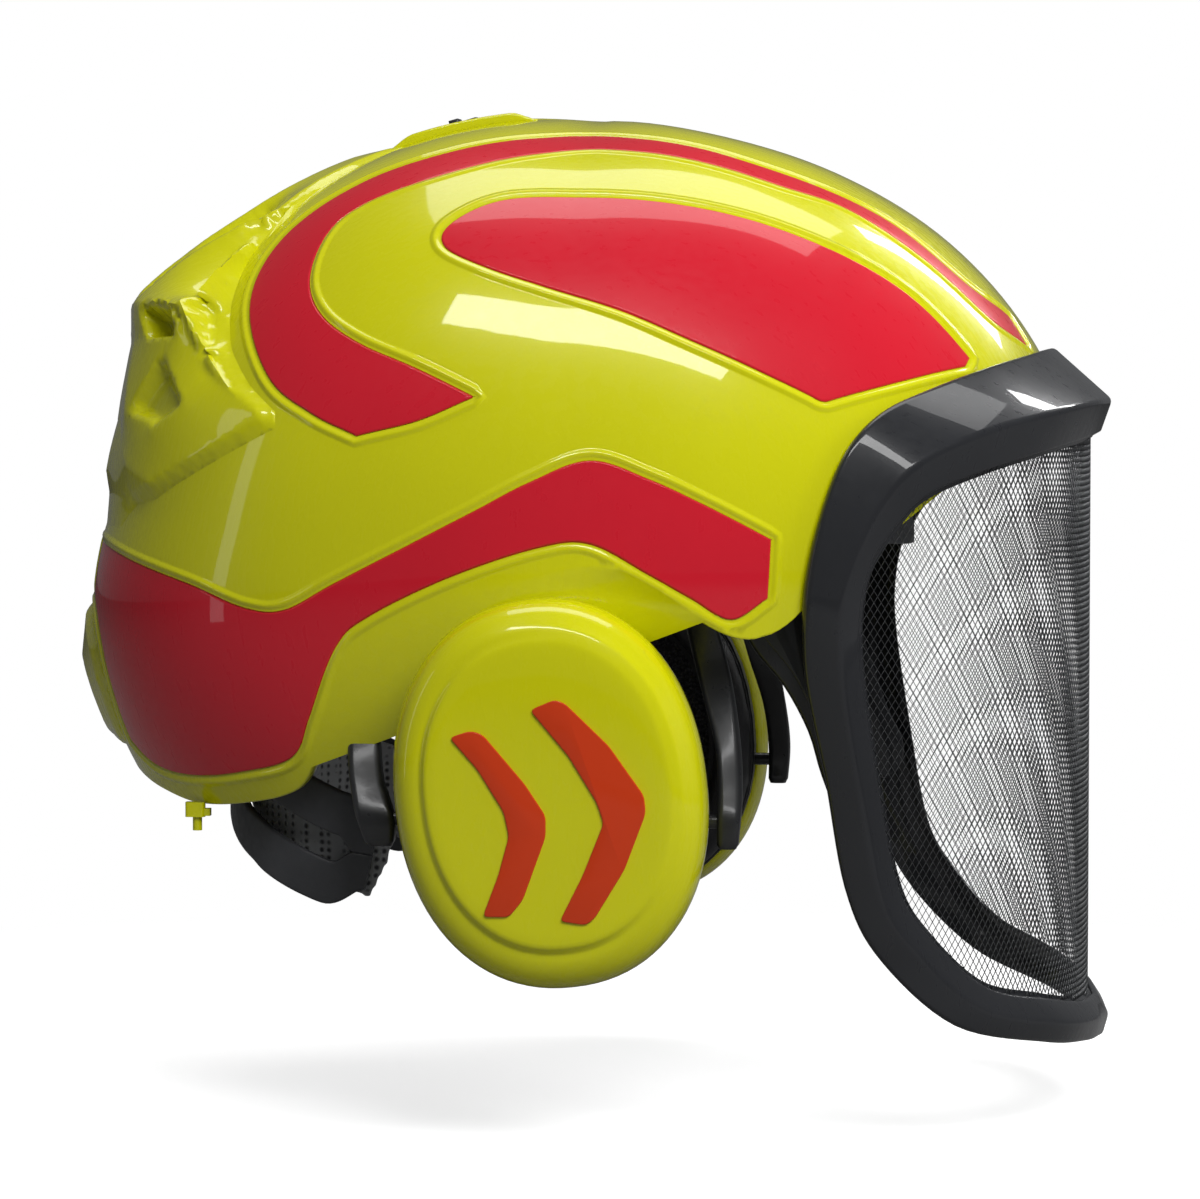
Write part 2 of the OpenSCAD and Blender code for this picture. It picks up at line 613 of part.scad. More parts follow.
// Two chevrons set on the cup's face, pointing forward
module cup_chevrons() {
    rear = [[-29, -32], [-23, -30], [-19.5, -31], [-7.5, -45], [-1.5, -54], [-1.5, -60], [-8, -78],
            [-12, -83], [-19.5, -83], [-15, -71], [-12, -60], [-13.5, -53], [-21, -41]];
    front = [[-6, -24], [1, -21], [4, -22], [16.5, -34], [26.5, -48], [27, -53], [21, -69],
             [12.5, -83], [10, -85], [2.5, -84], [9, -71], [15, -56], [13, -50], [5, -37]];
    color([0.85, 0.22, 0.08])
    for (outline = [rear, front]) side_plate(outline, cup_face_y + 0.15, cup_face_y + 1.1);
}

// Soft ring that seals round the ear
module ear_cushion() {
    steps = [[0.64, 0.69, 0.5], [0.62, 0.67, 6], [0.66, 0.71, 12], [0.74, 0.77, 14], [0.84, 0.86, 14],
             [0.92, 0.92, 11], [0.945, 0.945, 6], [0.9, 0.9, 0.5]];
    rings = [for (s = steps) at_y(cup_oval(s[0], s[1]), cup_ring_y - s[2])];
    color([0.1, 0.1, 0.11])
    loft([for (i = [0:cup_points - 1]) [for (r = rings) r[i]]], loop = true);
}

// Sound-absorbing foam in the bottom of the cup
module ear_foam() {
    color([0.2, 0.2, 0.21])
    side_plate(cup_oval(0.66, 0.66), cup_face_y - 14, cup_face_y - 4.5);
}

// ---- neck cradle ----

function mirrored_path(path) =
    concat(path, [for (i = [len(path) - 2:-1:0]) [path[i].x, -path[i].y, path[i].z]]);

module neck_cradle() {
    color([0.13, 0.13, 0.14]) strap(mirrored_path(cradle_path), 34, 3, [0, 0, 1], 26);
}

module neck_pads() {
    color([0.35, 0.36, 0.37])
    for (side = [-1, 1])
        strap([for (p = cradle_path) [p.x * 0.985 + 4.5,
                                      side * abs(p.y) * 0.93 + side * 2 * (p.y == 0 ? 3 : 0), p.z]],
              30, 4, [0, 0, 1], 14);
}

module rear_band() {
    color([0.13, 0.13, 0.14])
    oval_band(band_half_l, band_half_w, band_t, band_low + 2, band_low + band_h - 10, band_x - 4,
              124, 236, 22);
}

// Struts that tie the nape cradle to the rear band
module cradle_struts() {
    color([0.13, 0.13, 0.14])
    for (side = [-1, 1])
        strap([[-113, side * 24, -26.5], [-110.5, side * 26, -8], [-106.5, side * 28, 10],
               [-104, side * 28, 22],
               [-103.4, side * 28, 30]], 14, 2.4, [0, 1, 0], 8);
}

module adjuster_housing() {
    color([0.11, 0.11, 0.12]) {
        difference() {
            translate([-124, -21, -59]) cube([9, 42, 28]);
            for (side = [-1, 1])
                translate([-126, side * 21, -59]) rotate([45, 0, 0]) translate([0, -6, -6])
                    cube([13, 12, 12]);
        }
        bar_x(-134, -124, [0, -45], 3);
    }
}

module adjuster_knob() {
    color([0.16, 0.16, 0.17])
    difference() {
        union() {
            bar_x(-134, -124.4, [0, -45], knob_r - 1);
            for (i = [0:knob_ribs - 1])
                bar_x(-133, -125, [(knob_r - 1) * cos(i * 360 / knob_ribs),
                                   -45 + (knob_r - 1) * sin(i * 360 / knob_ribs)],
                      1.2);
        }
        bar_x(-140, -120, [0, -45], 3 + pin_clear);
    }
}

outer_shell();
inner_liner();
on_left() crown_inlay();  // crown_inlay_right
crown_inlay();  // crown_inlay_left
on_left() front_inlay();  // front_inlay_right
front_inlay();  // front_inlay_left
on_left() side_inlay();  // side_inlay_right
side_inlay();  // side_inlay_left
rear_vent_cover();
vent_rails();
vent_slider();
tail_guard();
cape_pegs();
headband();
rear_band();
sweatband();
crown_straps();
crown_pad();
strap_clips();
visor_mount();  // visor_mount_right
on_left() visor_mount();  // visor_mount_left
visor_pins();
visor_frame();
visor_mesh();
visor_arm();  // visor_arm_right
on_left() visor_arm();  // visor_arm_left
ear_guide();  // ear_guide_right
on_left() ear_guide();  // ear_guide_left
guide_screws();
ear_slider();  // ear_slider_right
on_left() ear_slider();  // ear_slider_left
yoke_pins();  // yoke_pins_right
on_left() yoke_pins();  // yoke_pins_left
ear_yoke();  // ear_yoke_right
on_left() ear_yoke();  // ear_yoke_left
cup_pins();  // cup_pins_right
on_left() cup_pins();  // cup_pins_left
cup_back();  // cup_back_right
on_left() cup_back();  // cup_back_left
cup_shell();  // cup_shell_right
on_left() cup_shell();  // cup_shell_left
cup_chevrons();  // cup_chevrons_right
on_left() cup_chevrons();  // cup_chevrons_left
ear_cushion();  // ear_cushion_right
on_left() ear_cushion();  // ear_cushion_left
ear_foam();  // ear_foam_right
on_left() ear_foam();  // ear_foam_left
neck_cradle();
neck_pads();
cradle_struts();
adjuster_housing();
adjuster_knob();
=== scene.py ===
import math

import bpy
import numpy as np
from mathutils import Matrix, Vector, geometry


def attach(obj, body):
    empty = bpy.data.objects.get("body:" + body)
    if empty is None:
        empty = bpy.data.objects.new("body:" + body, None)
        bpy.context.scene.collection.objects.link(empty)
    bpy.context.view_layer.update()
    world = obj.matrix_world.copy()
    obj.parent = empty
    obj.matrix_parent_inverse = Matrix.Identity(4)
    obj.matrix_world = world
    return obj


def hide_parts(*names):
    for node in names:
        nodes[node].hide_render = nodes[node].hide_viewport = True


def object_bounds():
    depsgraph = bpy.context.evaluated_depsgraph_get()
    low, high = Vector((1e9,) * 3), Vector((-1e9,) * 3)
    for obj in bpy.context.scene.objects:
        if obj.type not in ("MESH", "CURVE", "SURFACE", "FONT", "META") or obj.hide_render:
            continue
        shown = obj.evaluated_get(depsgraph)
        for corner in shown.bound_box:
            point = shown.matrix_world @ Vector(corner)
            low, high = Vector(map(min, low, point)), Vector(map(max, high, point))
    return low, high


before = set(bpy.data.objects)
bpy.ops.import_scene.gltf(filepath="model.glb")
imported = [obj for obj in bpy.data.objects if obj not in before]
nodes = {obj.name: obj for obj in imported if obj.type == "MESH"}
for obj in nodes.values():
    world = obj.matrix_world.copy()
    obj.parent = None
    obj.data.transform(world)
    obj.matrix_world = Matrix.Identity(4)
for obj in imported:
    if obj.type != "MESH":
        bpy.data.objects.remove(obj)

cad_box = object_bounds()
SIDES = {"right": -1, "left": 1}

# Every length below is in millimetres, as in the CAD source, and MM turns it into metres.
MM = 0.001


# ---------------------------------------------------------------- camera, floor and light

def toward(azimuth, elevation):
    """Unit vector with this angle round from +X towards +Y, and this height, in degrees."""
    a, e = math.radians(azimuth), math.radians(elevation)
    return Vector((math.cos(e) * math.cos(a), math.cos(e) * math.sin(a), math.sin(e)))


def link(obj):
    bpy.context.scene.collection.objects.link(obj)
    return obj


def make_camera():
    data = bpy.data.cameras.new("camera")
    data.sensor_width = 36
    data.lens = 152.3
    camera = link(bpy.data.objects.new("camera", data))
    camera.location = toward(-84, 3.2) * 1.567
    camera.rotation_mode = "QUATERNION"
    camera.rotation_quaternion = (-camera.location).to_track_quat("-Z", "Y")
    bpy.context.scene.camera = camera
    bpy.context.scene.view_settings.view_transform = "Standard"


def soft_box(name, place, width_axis, width, height, power, in_gloss=True, in_shade=True, aim=(0, 0, 0)):
    """Rectangular studio light at place that faces aim, with its width along width_axis."""
    data = bpy.data.lights.new(name, "AREA")
    data.shape = "RECTANGLE"
    data.size, data.size_y = width, height
    data.energy = power
    lamp = link(bpy.data.objects.new(name, data))
    lamp.visible_glossy = in_gloss
    lamp.visible_diffuse = in_shade
    z = (Vector(place) - Vector(aim)).normalized()
    x = Vector(width_axis)
    x = (x - z * x.dot(z)).normalized()
    y = z.cross(x)
    lamp.matrix_world = (
        (x.x, x.y, x.z, 0), (y.x, y.y, y.z, 0), (z.x, z.y, z.z, 0), (*place, 1))
    return lamp


def make_lights():
    """Broad light from above and the front for the shade, and soft boxes for the highlights."""
    soft_box("key", (0.9, -1.5, 1.5), (1, 0.6, 0), 1.4, 1.0, 38, in_gloss=False)
    soft_box("front", (2.0, -0.2, 0.5), (0, 1, 0), 0.8, 1.0, 8, in_gloss=False)
    soft_box("top", (0.1, 0.3, 1.8), (1, 0, 0), 1.6, 0.8, 12)
    first, last = toward(-122, 52) * 1.4, toward(-69, 40) * 1.4
    soft_box("side_box", (first + last) / 2, last - first, (last - first).length, 0.15, 4.6, in_shade=False)
    high, low = toward(42, 52) * 1.4, toward(43, 26) * 1.4
    soft_box("brow_box", (high + low) / 2, low - high, (low - high).length, 0.12, 5.5, in_shade=False)
    soft_box("tail_strip", toward(-158, 6) * 1.3, (0, 0, 1), 0.9, 0.1, 0.35, in_shade=False)


def make_world():
    """Pale surroundings: white where the camera sees them, softer as a light on the helmet."""
    world = bpy.data.worlds.new("studio")
    bpy.context.scene.world = world
    world.use_nodes = True
    tree = world.node_tree
    tree.nodes.clear()
    out = tree.nodes.new("ShaderNodeOutputWorld")
    mix = tree.nodes.new("ShaderNodeMixShader")
    path = tree.nodes.new("ShaderNodeLightPath")
    ambient, seen = (tree.nodes.new("ShaderNodeBackground") for _ in range(2))
    ambient.inputs[0].default_value = (0.95, 0.97, 1, 1)
    ambient.inputs[1].default_value = 0.13
    seen.inputs[0].default_value = (1, 1, 1, 1)
    seen.inputs[1].default_value = 1.0
    tree.links.new(path.outputs["Is Camera Ray"], mix.inputs[0])
    tree.links.new(ambient.outputs[0], mix.inputs[1])
    tree.links.new(seen.outputs[0], mix.inputs[2])
    tree.links.new(mix.outputs[0], out.inputs[0])


def make_floor():
    """Round pale floor: white where the camera sees it, and a dim grey bounce on the helmet."""
    floor_z = cad_box[0].z - 0.02
    turns, reach = 96, 6.0
    ring = [(reach * math.cos(2 * math.pi * i / turns), reach * math.sin(2 * math.pi * i / turns), floor_z)
            for i in range(turns)]
    mesh = bpy.data.meshes.new("floor")
    mesh.from_pydata(ring, [], [list(range(turns))])
    floor = link(bpy.data.objects.new("floor", mesh))
    mat = bpy.data.materials.new("pale_floor")
    mat.use_nodes = True
    tree = mat.node_tree
    tree.nodes.clear()
    out = tree.nodes.new("ShaderNodeOutputMaterial")
    path = tree.nodes.new("ShaderNodeLightPath")
    bounce = tree.nodes.new("ShaderNodeBsdfDiffuse")
    bounce.inputs[0].default_value = (0.25, 0.25, 0.25, 1)
    shade = tree.nodes.new("ShaderNodeBsdfDiffuse")
    shade.inputs[0].default_value = (0.9, 0.9, 0.9, 1)
    glow = tree.nodes.new("ShaderNodeEmission")
    glow.inputs[1].default_value = 0.72
    near = tree.nodes.new("ShaderNodeAddShader")
    far = tree.nodes.new("ShaderNodeEmission")
    spot = tree.nodes.new("ShaderNodeTexCoord")
    length = tree.nodes.new("ShaderNodeVectorMath")
    length.operation = "LENGTH"
    fade = tree.nodes.new("ShaderNodeMapRange")
    fade.inputs["From Min"].default_value = 0.16
    fade.inputs["From Max"].default_value = 0.5
    seen = tree.nodes.new("ShaderNodeMixShader")
    mix = tree.nodes.new("ShaderNodeMixShader")
    tree.links.new(shade.outputs[0], near.inputs[0])
    tree.links.new(glow.outputs[0], near.inputs[1])
    tree.links.new(spot.outputs["Object"], length.inputs[0])
    tree.links.new(length.outputs["Value"], fade.inputs["Value"])
    tree.links.new(fade.outputs[0], seen.inputs[0])
    tree.links.new(near.outputs[0], seen.inputs[1])
    tree.links.new(far.outputs[0], seen.inputs[2])
    tree.links.new(path.outputs["Is Camera Ray"], mix.inputs[0])
    tree.links.new(bounce.outputs[0], mix.inputs[1])
    tree.links.new(seen.outputs[0], mix.inputs[2])
    tree.links.new(mix.outputs[0], out.inputs[0])
    mesh.materials.append(mat)


make_camera()
make_world()
make_lights()
make_floor()


# ---------------------------------------------------------------- materials

class Shader:
    """A material with a Principled shader, and short ways to add nodes to it."""

    def __init__(self, name, colour, roughness, **sockets):
        self.mat = bpy.data.materials.new(name)
        self.mat.use_nodes = True
        self.tree = self.mat.node_tree
        self.bsdf = self.tree.nodes["Principled BSDF"]
        self.colour = colour
        self.set("Base Color", (*colour, 1))
        self.set("Roughness", roughness)
        for socket, value in sockets.items():
            self.set(socket.replace("_", " "), value)
        self.height = None
        self.base = None

    def set(self, socket, value):
        self.bsdf.inputs[socket].default_value = value

    def node(self, kind, **settings):
        made = self.tree.nodes.new("ShaderNode" + kind)
        for key, value in settings.items():
            setattr(made, key, value)
        return made

    def link(self, source, target):
        self.tree.links.new(source, target)

    def place(self, kind="Object"):
        return self.node("TexCoord").outputs[kind]

    def noise(self, scale, detail=3, stretch=None):
        """Noise in the object's own place, features about 1 / scale metres wide."""
        tex = self.node("TexNoise")
        tex.inputs["Scale"].default_value = scale
        tex.inputs["Detail"].default_value = detail
        source = self.place()
        if stretch:
            mapping = self.node("Mapping")
            mapping.inputs["Scale"].default_value = stretch
            self.link(source, mapping.inputs["Vector"])
            source = mapping.outputs[0]
        self.link(source, tex.inputs["Vector"])
        return tex.outputs[0]

    def spread(self, source, low, high, from_low=0.3, from_high=0.7):
        fit = self.node("MapRange")
        ends = {"From Min": from_low, "From Max": from_high, "To Min": low, "To Max": high}
        for socket, value in ends.items():
            fit.inputs[socket].default_value = value
        self.link(source, fit.inputs["Value"])
        return fit.outputs[0]

    def tint(self, source, amount, colour=None):
        """Colour moves between darker and lighter as source goes from 0 to 1."""
        mix = self.node("Mix", data_type="RGBA")
        darker, lighter = ([c * k for c in self.colour] for k in (1 - amount, 1 + amount))
        first, second = colour or (darker, lighter)
        mix.inputs[6].default_value = (*first, 1)
        mix.inputs[7].default_value = (*second, 1)
        self.link(source, mix.inputs[0])
        self.link(mix.outputs[2], self.bsdf.inputs["Base Color"])
        return mix

    def rough(self, source, low, high):
        self.link(self.spread(source, low, high), self.bsdf.inputs["Roughness"])

    def product(self, a, b):
        times = self.node("Math", operation="MULTIPLY")
        self.link(a, times.inputs[0])
        self.link(b, times.inputs[1])
        return times.outputs[0]

    def bump(self, source, strength, depth):
        """Adds a height in metres; bumps chain when called again."""
        bump = self.node("Bump")
        bump.inputs["Strength"].default_value = strength
        bump.inputs["Distance"].default_value = depth
        self.link(source, bump.inputs["Height"])
        if self.height:
            self.link(self.height, bump.inputs["Normal"])
        self.height = bump.outputs[0]
        self.link(self.height, self.bsdf.inputs["Normal"])


def gloss_plastic(name, colour, roughness=0.22, coat=0.8, shade=0.05):
    """Injection moulded gloss: soft colour drift, faint flow ripple, hairline scuffs."""
    s = Shader(name, colour, roughness, Coat_Weight=coat, Coat_Roughness=0.03, IOR=1.5,
               Specular_IOR_Level=0.22)
    s.tint(s.spread(s.noise(9), 0, 1), shade)
    s.rough(s.noise(260, 4, (1, 3, 0.4)), roughness * 0.85, roughness * 1.25)
    s.bump(s.noise(55, 2), 0.1, 0.0002)
    return s.mat


def grained_plastic(name, colour, roughness=0.45, grain=1900, depth=0.00012, coat=0.0):
    """Fine spark-eroded grain with slightly rubbed high spots."""
    s = Shader(name, colour, roughness, Coat_Weight=coat, Coat_Roughness=0.12, IOR=1.48)
    s.tint(s.spread(s.noise(38), 0, 1), 0.18)
    s.rough(s.noise(420, 3), roughness * 0.85, roughness * 1.2)
    s.bump(s.noise(grain, 3), 0.35, depth)
    return s.mat


def steel_material():
    s = Shader("turned_steel", (0.55, 0.55, 0.57), 0.3, Metallic=1.0)
    s.tint(s.spread(s.noise(90), 0, 1), 0.08)
    s.rough(s.noise(1500, 2, (0.05, 1, 1)), 0.22, 0.4)
    s.bump(s.noise(2600, 2, (0.05, 1, 1)), 0.2, 0.00004)
    return s.mat


def mesh_metal():
    s = Shader("etched_mesh", (0.16, 0.165, 0.17), 0.42, Metallic=0.65)
    s.tint(s.spread(s.noise(120), 0, 1), 0.12)
    s.rough(s.noise(900, 3), 0.34, 0.55)
    return s.mat


def spacer_fabric():
    """Open-knit spacer fabric: rows of small holes between plump threads."""
    s = Shader("spacer_fabric", (0.2, 0.205, 0.21), 0.85, Sheen_Weight=0.35, Sheen_Roughness=0.5)
    holes = s.node("TexVoronoi", feature="F1")
    holes.inputs["Scale"].default_value = 420
    holes.inputs["Randomness"].default_value = 0.12
    s.link(s.place(), holes.inputs["Vector"])
    edge = s.spread(holes.outputs["Distance"], 0, 1, 0.18, 0.42)
    # Painted shade: the hole centres are near black for the depth seen through each hole, while the threads
    # between them stay mid grey.
    s.tint(edge, 0, ((0.025, 0.026, 0.028), (0.24, 0.245, 0.25)))
    s.bump(edge, 0.8, 0.0006)
    s.bump(s.noise(2500, 2), 0.3, 0.0001)
    return s.mat


def leather_skin():
    """Soft polyurethane skin with a fine pebble."""
    s = Shader("soft_skin", (0.022, 0.022, 0.024), 0.48, Coat_Weight=0.1, Coat_Roughness=0.3)
    cells = s.node("TexVoronoi", feature="DISTANCE_TO_EDGE")
    cells.inputs["Scale"].default_value = 700
    s.link(s.place(), cells.inputs["Vector"])
    s.bump(cells.outputs["Distance"], 0.5, 0.0002)
    s.tint(s.spread(s.noise(60), 0, 1), 0.25)
    s.rough(s.noise(200, 3), 0.42, 0.58)
    return s.mat


def foam_material():
    s = Shader("open_foam", (0.06, 0.06, 0.064), 0.95, Sheen_Weight=0.2)
    cells = s.node("TexVoronoi", feature="F1")
    cells.inputs["Scale"].default_value = 900
    s.link(s.place(), cells.inputs["Vector"])
    s.tint(s.spread(cells.outputs["Distance"], 1, 0), 0.5)
    s.bump(cells.outputs["Distance"], 1.0, 0.0007)
    return s.mat


def webbing_material():
    """Woven tape, from the loft's own coordinates: crossing ribs 1 mm apart."""
    s = Shader("woven_webbing", (0.05, 0.052, 0.056), 0.7, Sheen_Weight=0.3)
    weave = None
    for direction in ("X", "Y"):
        wave = s.node("TexWave", bands_direction=direction)
        wave.inputs["Scale"].default_value = 300
        wave.inputs["Distortion"].default_value = 0.6
        s.link(s.place("UV"), wave.inputs["Vector"])
        weave = wave.outputs[1] if weave is None else s.product(weave, wave.outputs[1])
    # Painted shade and painted highlight: the tone follows the weave's height, 45 percent darker in the
    # valleys between ribs and lighter on the rib tops.
    s.tint(weave, 0.45)
    s.bump(weave, 0.7, 0.0003)
    return s.mat


LIME = (0.72, 0.72, 0.001)
MATS = {
    "lime": gloss_plastic("lime_gloss", LIME, 0.26, 0.9, 0.04),
    "red": gloss_plastic("red_gloss", (0.72, 0.012, 0.03), 0.3, 0.7, 0.05),
    "orange": gloss_plastic("orange_gloss", (0.68, 0.05, 0.008), 0.35, 0.4, 0.05),
    "visor": gloss_plastic("charcoal_gloss", (0.022, 0.023, 0.026), 0.3, 0.6, 0.12),
    "mesh": mesh_metal(),
    "black": grained_plastic("black_grain", (0.02, 0.0205, 0.022), 0.42),
    "satin": grained_plastic("black_satin", (0.019, 0.0195, 0.021), 0.32, 2600, 0.00004, 0.25),
    "grey": grained_plastic("grey_satin", (0.055, 0.057, 0.062), 0.5),
    "liner": grained_plastic("liner_black", (0.02, 0.02, 0.022), 0.6, 900, 0.0004),
    "steel": steel_material(),
    "fabric": spacer_fabric(),
    "skin": leather_skin(),
    "foam": foam_material(),
    "webbing": webbing_material(),
}


# ---------------------------------------------------------------- curves and surfaces

def unit(v):
    return v / np.linalg.norm(v, axis=-1, keepdims=True)


def curve(knots, t):
    """Smooth curve through [position, value] knots."""
    k = np.array(knots, float)
    t = np.asarray(t, float)
    i = np.clip(np.searchsorted(k[:, 0], t, side="right") - 1, 0, len(k) - 2)
    a, b, c, d = k[np.maximum(i - 1, 0)], k[i], k[i + 1], k[np.minimum(i + 2, len(k) - 1)]
    h = c[..., 0] - b[..., 0]
    u = (t - b[..., 0]) / h
    slope_b = (c[..., 1] - a[..., 1]) / (c[..., 0] - a[..., 0]) * h
    slope_c = (d[..., 1] - b[..., 1]) / (d[..., 0] - b[..., 0]) * h
    return ((2 * u ** 3 - 3 * u ** 2 + 1) * b[..., 1] + (u ** 3 - 2 * u ** 2 + u) * slope_b
            + (3 * u ** 2 - 2 * u ** 3) * c[..., 1] + (u ** 3 - u ** 2) * slope_c)


def through(points, count):
    """count + 1 places along a Catmull-Rom curve through points."""
    p = np.array(points, float)
    n = len(p) - 1
    s = np.linspace(0, n - 1e-6, count + 1)
    i = s.astype(int)
    u = (s - i).reshape((-1,) + (1,) * (p.ndim - 1))
    b, c = p[i], p[i + 1]
    a = np.where((i > 0).reshape(u.shape), p[np.maximum(i - 1, 0)], 2 * b - c)
    d = np.where((i + 2 <= n).reshape(u.shape), p[np.minimum(i + 2, n)], 2 * c - b)
    return 0.5 * (2 * b + (c - a) * u + (2 * a - 5 * b + 4 * c - d) * u ** 2
                  + (3 * b - a - 3 * c + d) * u ** 3)


def direction(ahead, elevation):
    a, e = np.radians(ahead), np.radians(elevation)
    return np.stack([np.cos(e) * np.cos(a), np.cos(e) * np.sin(a), np.sin(e) + 0 * a], -1)


def angles(v):
    """Angle from straight ahead and elevation of each vector, in degrees."""
    x, y, z = v[..., 0], v[..., 1], v[..., 2]
    return np.degrees(np.arctan2(y, x)), np.degrees(np.arctan2(z, np.hypot(x, y)))


crown_r, half_w, squareness, wall = 147, 112, 2.25, 3.2
front_profile = [[-40, 140], [-20, 146], [0, 150], [15, 153.5], [30, 155], [45, 153.5], [60, 150],
                 [75, crown_r], [90, crown_r]]
rear_profile = [[-40, 140], [-25, 149], [-10, 155], [0, 156], [12, 153], [25, 153.5], [38, 155],
                [52, 154], [65, 151.5], [78, crown_r + 2], [90, crown_r]]
side_profile = [[-40, half_w], [-25, half_w + 0.5], [-10, half_w - 0.5], [0, half_w], [12, half_w + 2.5],
                [25, half_w + 7.5], [40, half_w + 15.5], [55, half_w + 25], [70, 144], [90, crown_r]]
rim_profile = [[0, 22], [20, 21], [35, 19], [43, 16], [49, 11], [53, 5], [57, 0], [61, -2.5],
               [65, -2.5], [70, 0], [76, 4], [82, 7], [88, 7.5], [96, 5.5], [104, 3], [112, 0],
               [118, -3.5], [122, -8], [126, -15], [129, -21], [133, -24], [142, -25], [152, -24.5],
               [160, -22.5], [170, -20], [180, -19]]


def shell_radius(ahead, elevation):
    c, s = np.cos(np.radians(ahead)), np.sin(np.radians(ahead))
    a = np.where(c > 0, curve(front_profile, elevation), curve(rear_profile, elevation))
    b = curve(side_profile, elevation)
    q = 2 + (squareness - 2) * np.cos(np.radians(elevation))
    return ((np.abs(c) / a) ** q + (np.abs(s) / b) ** q) ** (-1 / q)


def on_shell(v, offset=0.0):
    u = unit(np.asarray(v, float))
    return u * (shell_radius(*angles(u)) + offset)[..., None]


def frame_at(v):
    """Two tangents along the shell at each direction, and its outward normal."""
    u = unit(v)
    helper = np.where(np.abs(u[..., 2:]) < 0.9, [[0, 0, 1.0]], [[1.0, 0, 0]])
    e1 = unit(np.cross(helper, u))
    e2 = np.cross(u, e1)
    step = 0.004
    t1 = on_shell(u + e1 * step) - on_shell(u - e1 * step)
    t2 = on_shell(u + e2 * step) - on_shell(u - e2 * step)
    n = unit(np.cross(t1, t2))
    n = n * np.sign((n * u).sum(-1, keepdims=True))
    return unit(t1), unit(np.cross(n, unit(t1))), n


def rim(ahead):
    return curve(rim_profile, np.abs(ahead))


def chart(v):
    """Flat map of directions: distance from the crown is 90 less the elevation."""
    a, e = angles(v)
    r = 90 - e
    return np.stack([r * np.cos(np.radians(a)), r * np.sin(np.radians(a))], -1)


def unchart(q):
    return direction(np.degrees(np.arctan2(q[..., 1], q[..., 0])), 90 - np.hypot(q[..., 0], q[..., 1]))


# ---------------------------------------------------------------- mesh building blocks

def mesh_object(name, points, faces, mat, sharp=None, normals=None, uv=None):
    mesh = bpy.data.meshes.new(name)
    mesh.from_pydata((np.asarray(points, float) * MM).tolist(), [], [list(map(int, f)) for f in faces])
    mesh.materials.append(mat)
    mesh.polygons.foreach_set("use_smooth", [True] * len(mesh.polygons))
    if sharp:
        mesh.set_sharp_from_angle(angle=math.radians(sharp))
    if uv is not None:
        layer = mesh.uv_layers.new(name="along")
        corner = np.zeros(len(mesh.loops), int)
        mesh.loops.foreach_get("vertex_index", corner)
        layer.data.foreach_set("uv", (np.asarray(uv)[corner] * MM).astype(np.float32).ravel())
    if normals is not None:
        mesh.normals_split_custom_set_from_vertices(np.asarray(normals).tolist())
    mesh.update()
    return link(bpy.data.objects.new(name, mesh))


def place(obj, body, slot, *stands_for):
    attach(obj, body)
    if stands_for:
        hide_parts(*stands_for)
    return obj


def mirrored(points):
    return np.asarray(points) * [1, -1, 1]


def flipped(faces):
    return [list(f)[::-1] for f in faces]


def tube_faces(rows, columns, loop, caps=True):
    """Quads between matching sections, each a closed ring of columns points."""
    faces = []
    for i in range(rows if loop else rows - 1):
        for j in range(columns):
            a, b = i * columns + j, i * columns + (j + 1) % columns
            c, d = ((i + 1) % rows) * columns + (j + 1) % columns, ((i + 1) % rows) * columns + j
            faces.append([a, b, c, d])
    if caps and not loop:
        faces.append(list(range(columns))[::-1])
        faces.append([(rows - 1) * columns + j for j in range(columns)])
    return faces


def outward(points, faces):
    """The same faces, turned if the solid is inside out."""
    p = np.asarray(points, float)
    p = p - p.mean(0)
    volume = sum(np.dot(p[f[0]], np.cross(p[f[i]], p[f[i + 1]]))
                 for f in faces for i in range(1, len(f) - 1))
    return faces if volume > 0 else flipped(faces)


def rounded(section, radius, cuts=3):
    """Ring with each corner turned into a short curve."""
    p = np.asarray(section, float)
    made = []
    for k in range(len(p)):
        b = p[k]
        before, after = p[k - 1] - b, p[(k + 1) % len(p)] - b
        la, lc = np.linalg.norm(before), np.linalg.norm(after)
        r = min(radius, la * 0.45, lc * 0.45)
        start, end = b + before / la * r, b + after / lc * r
        for i in range(cuts + 1):
            t = i / cuts
            made.append((1 - t) ** 2 * start + 2 * t * (1 - t) * b + t ** 2 * end)
    return np.array(made)


def sweep(name, sections, mat, loop=False, sharp=None, uv=None):
    sections = np.asarray(sections, float)
    points = sections.reshape(-1, 3)
    faces = outward(points, tube_faces(len(sections), sections.shape[1], loop))
    return mesh_object(name, points, faces, mat, sharp, uv=uv)


def rectangle(width, thickness):
    w, t = width / 2, thickness / 2
    return [(w, t), (-w, t), (-w, -t), (w, -t)]


def strap_sections(path, width, thickness, across, count, radius=0.5, widths=None):
    """Flat strap with rounded edges, its width along one direction at every point."""
    centre = through(path, count)
    ahead = unit(np.gradient(centre, axis=0))
    across = np.asarray(across, float)
    wide = unit(across - ahead * (ahead @ across)[:, None])
    thick = np.cross(ahead, wide)
    ring = []
    for i in range(count + 1):
        w = width if widths is None else width * widths[i]
        flat = rounded([(x, y, 0) for x, y in rectangle(w, thickness)], radius)
        ring.append(centre[i] + flat[:, :1] * wide[i] + flat[:, 1:2] * thick[i])
    return np.array(ring), centre


def along_lengths(sections, centre):
    """Coordinates for a woven surface: across the section, and the distance along the path."""
    run = np.concatenate([[0], np.cumsum(np.linalg.norm(np.diff(centre, axis=0), axis=1))])
    around = [np.concatenate([[0], np.cumsum(np.linalg.norm(np.diff(s, axis=0), axis=1))]) for s in sections]
    return np.stack([np.array(around), np.repeat(run[:, None], sections.shape[1], 1)], -1).reshape(-1, 2)


# ---------------------------------------------------------------- shell and inlays

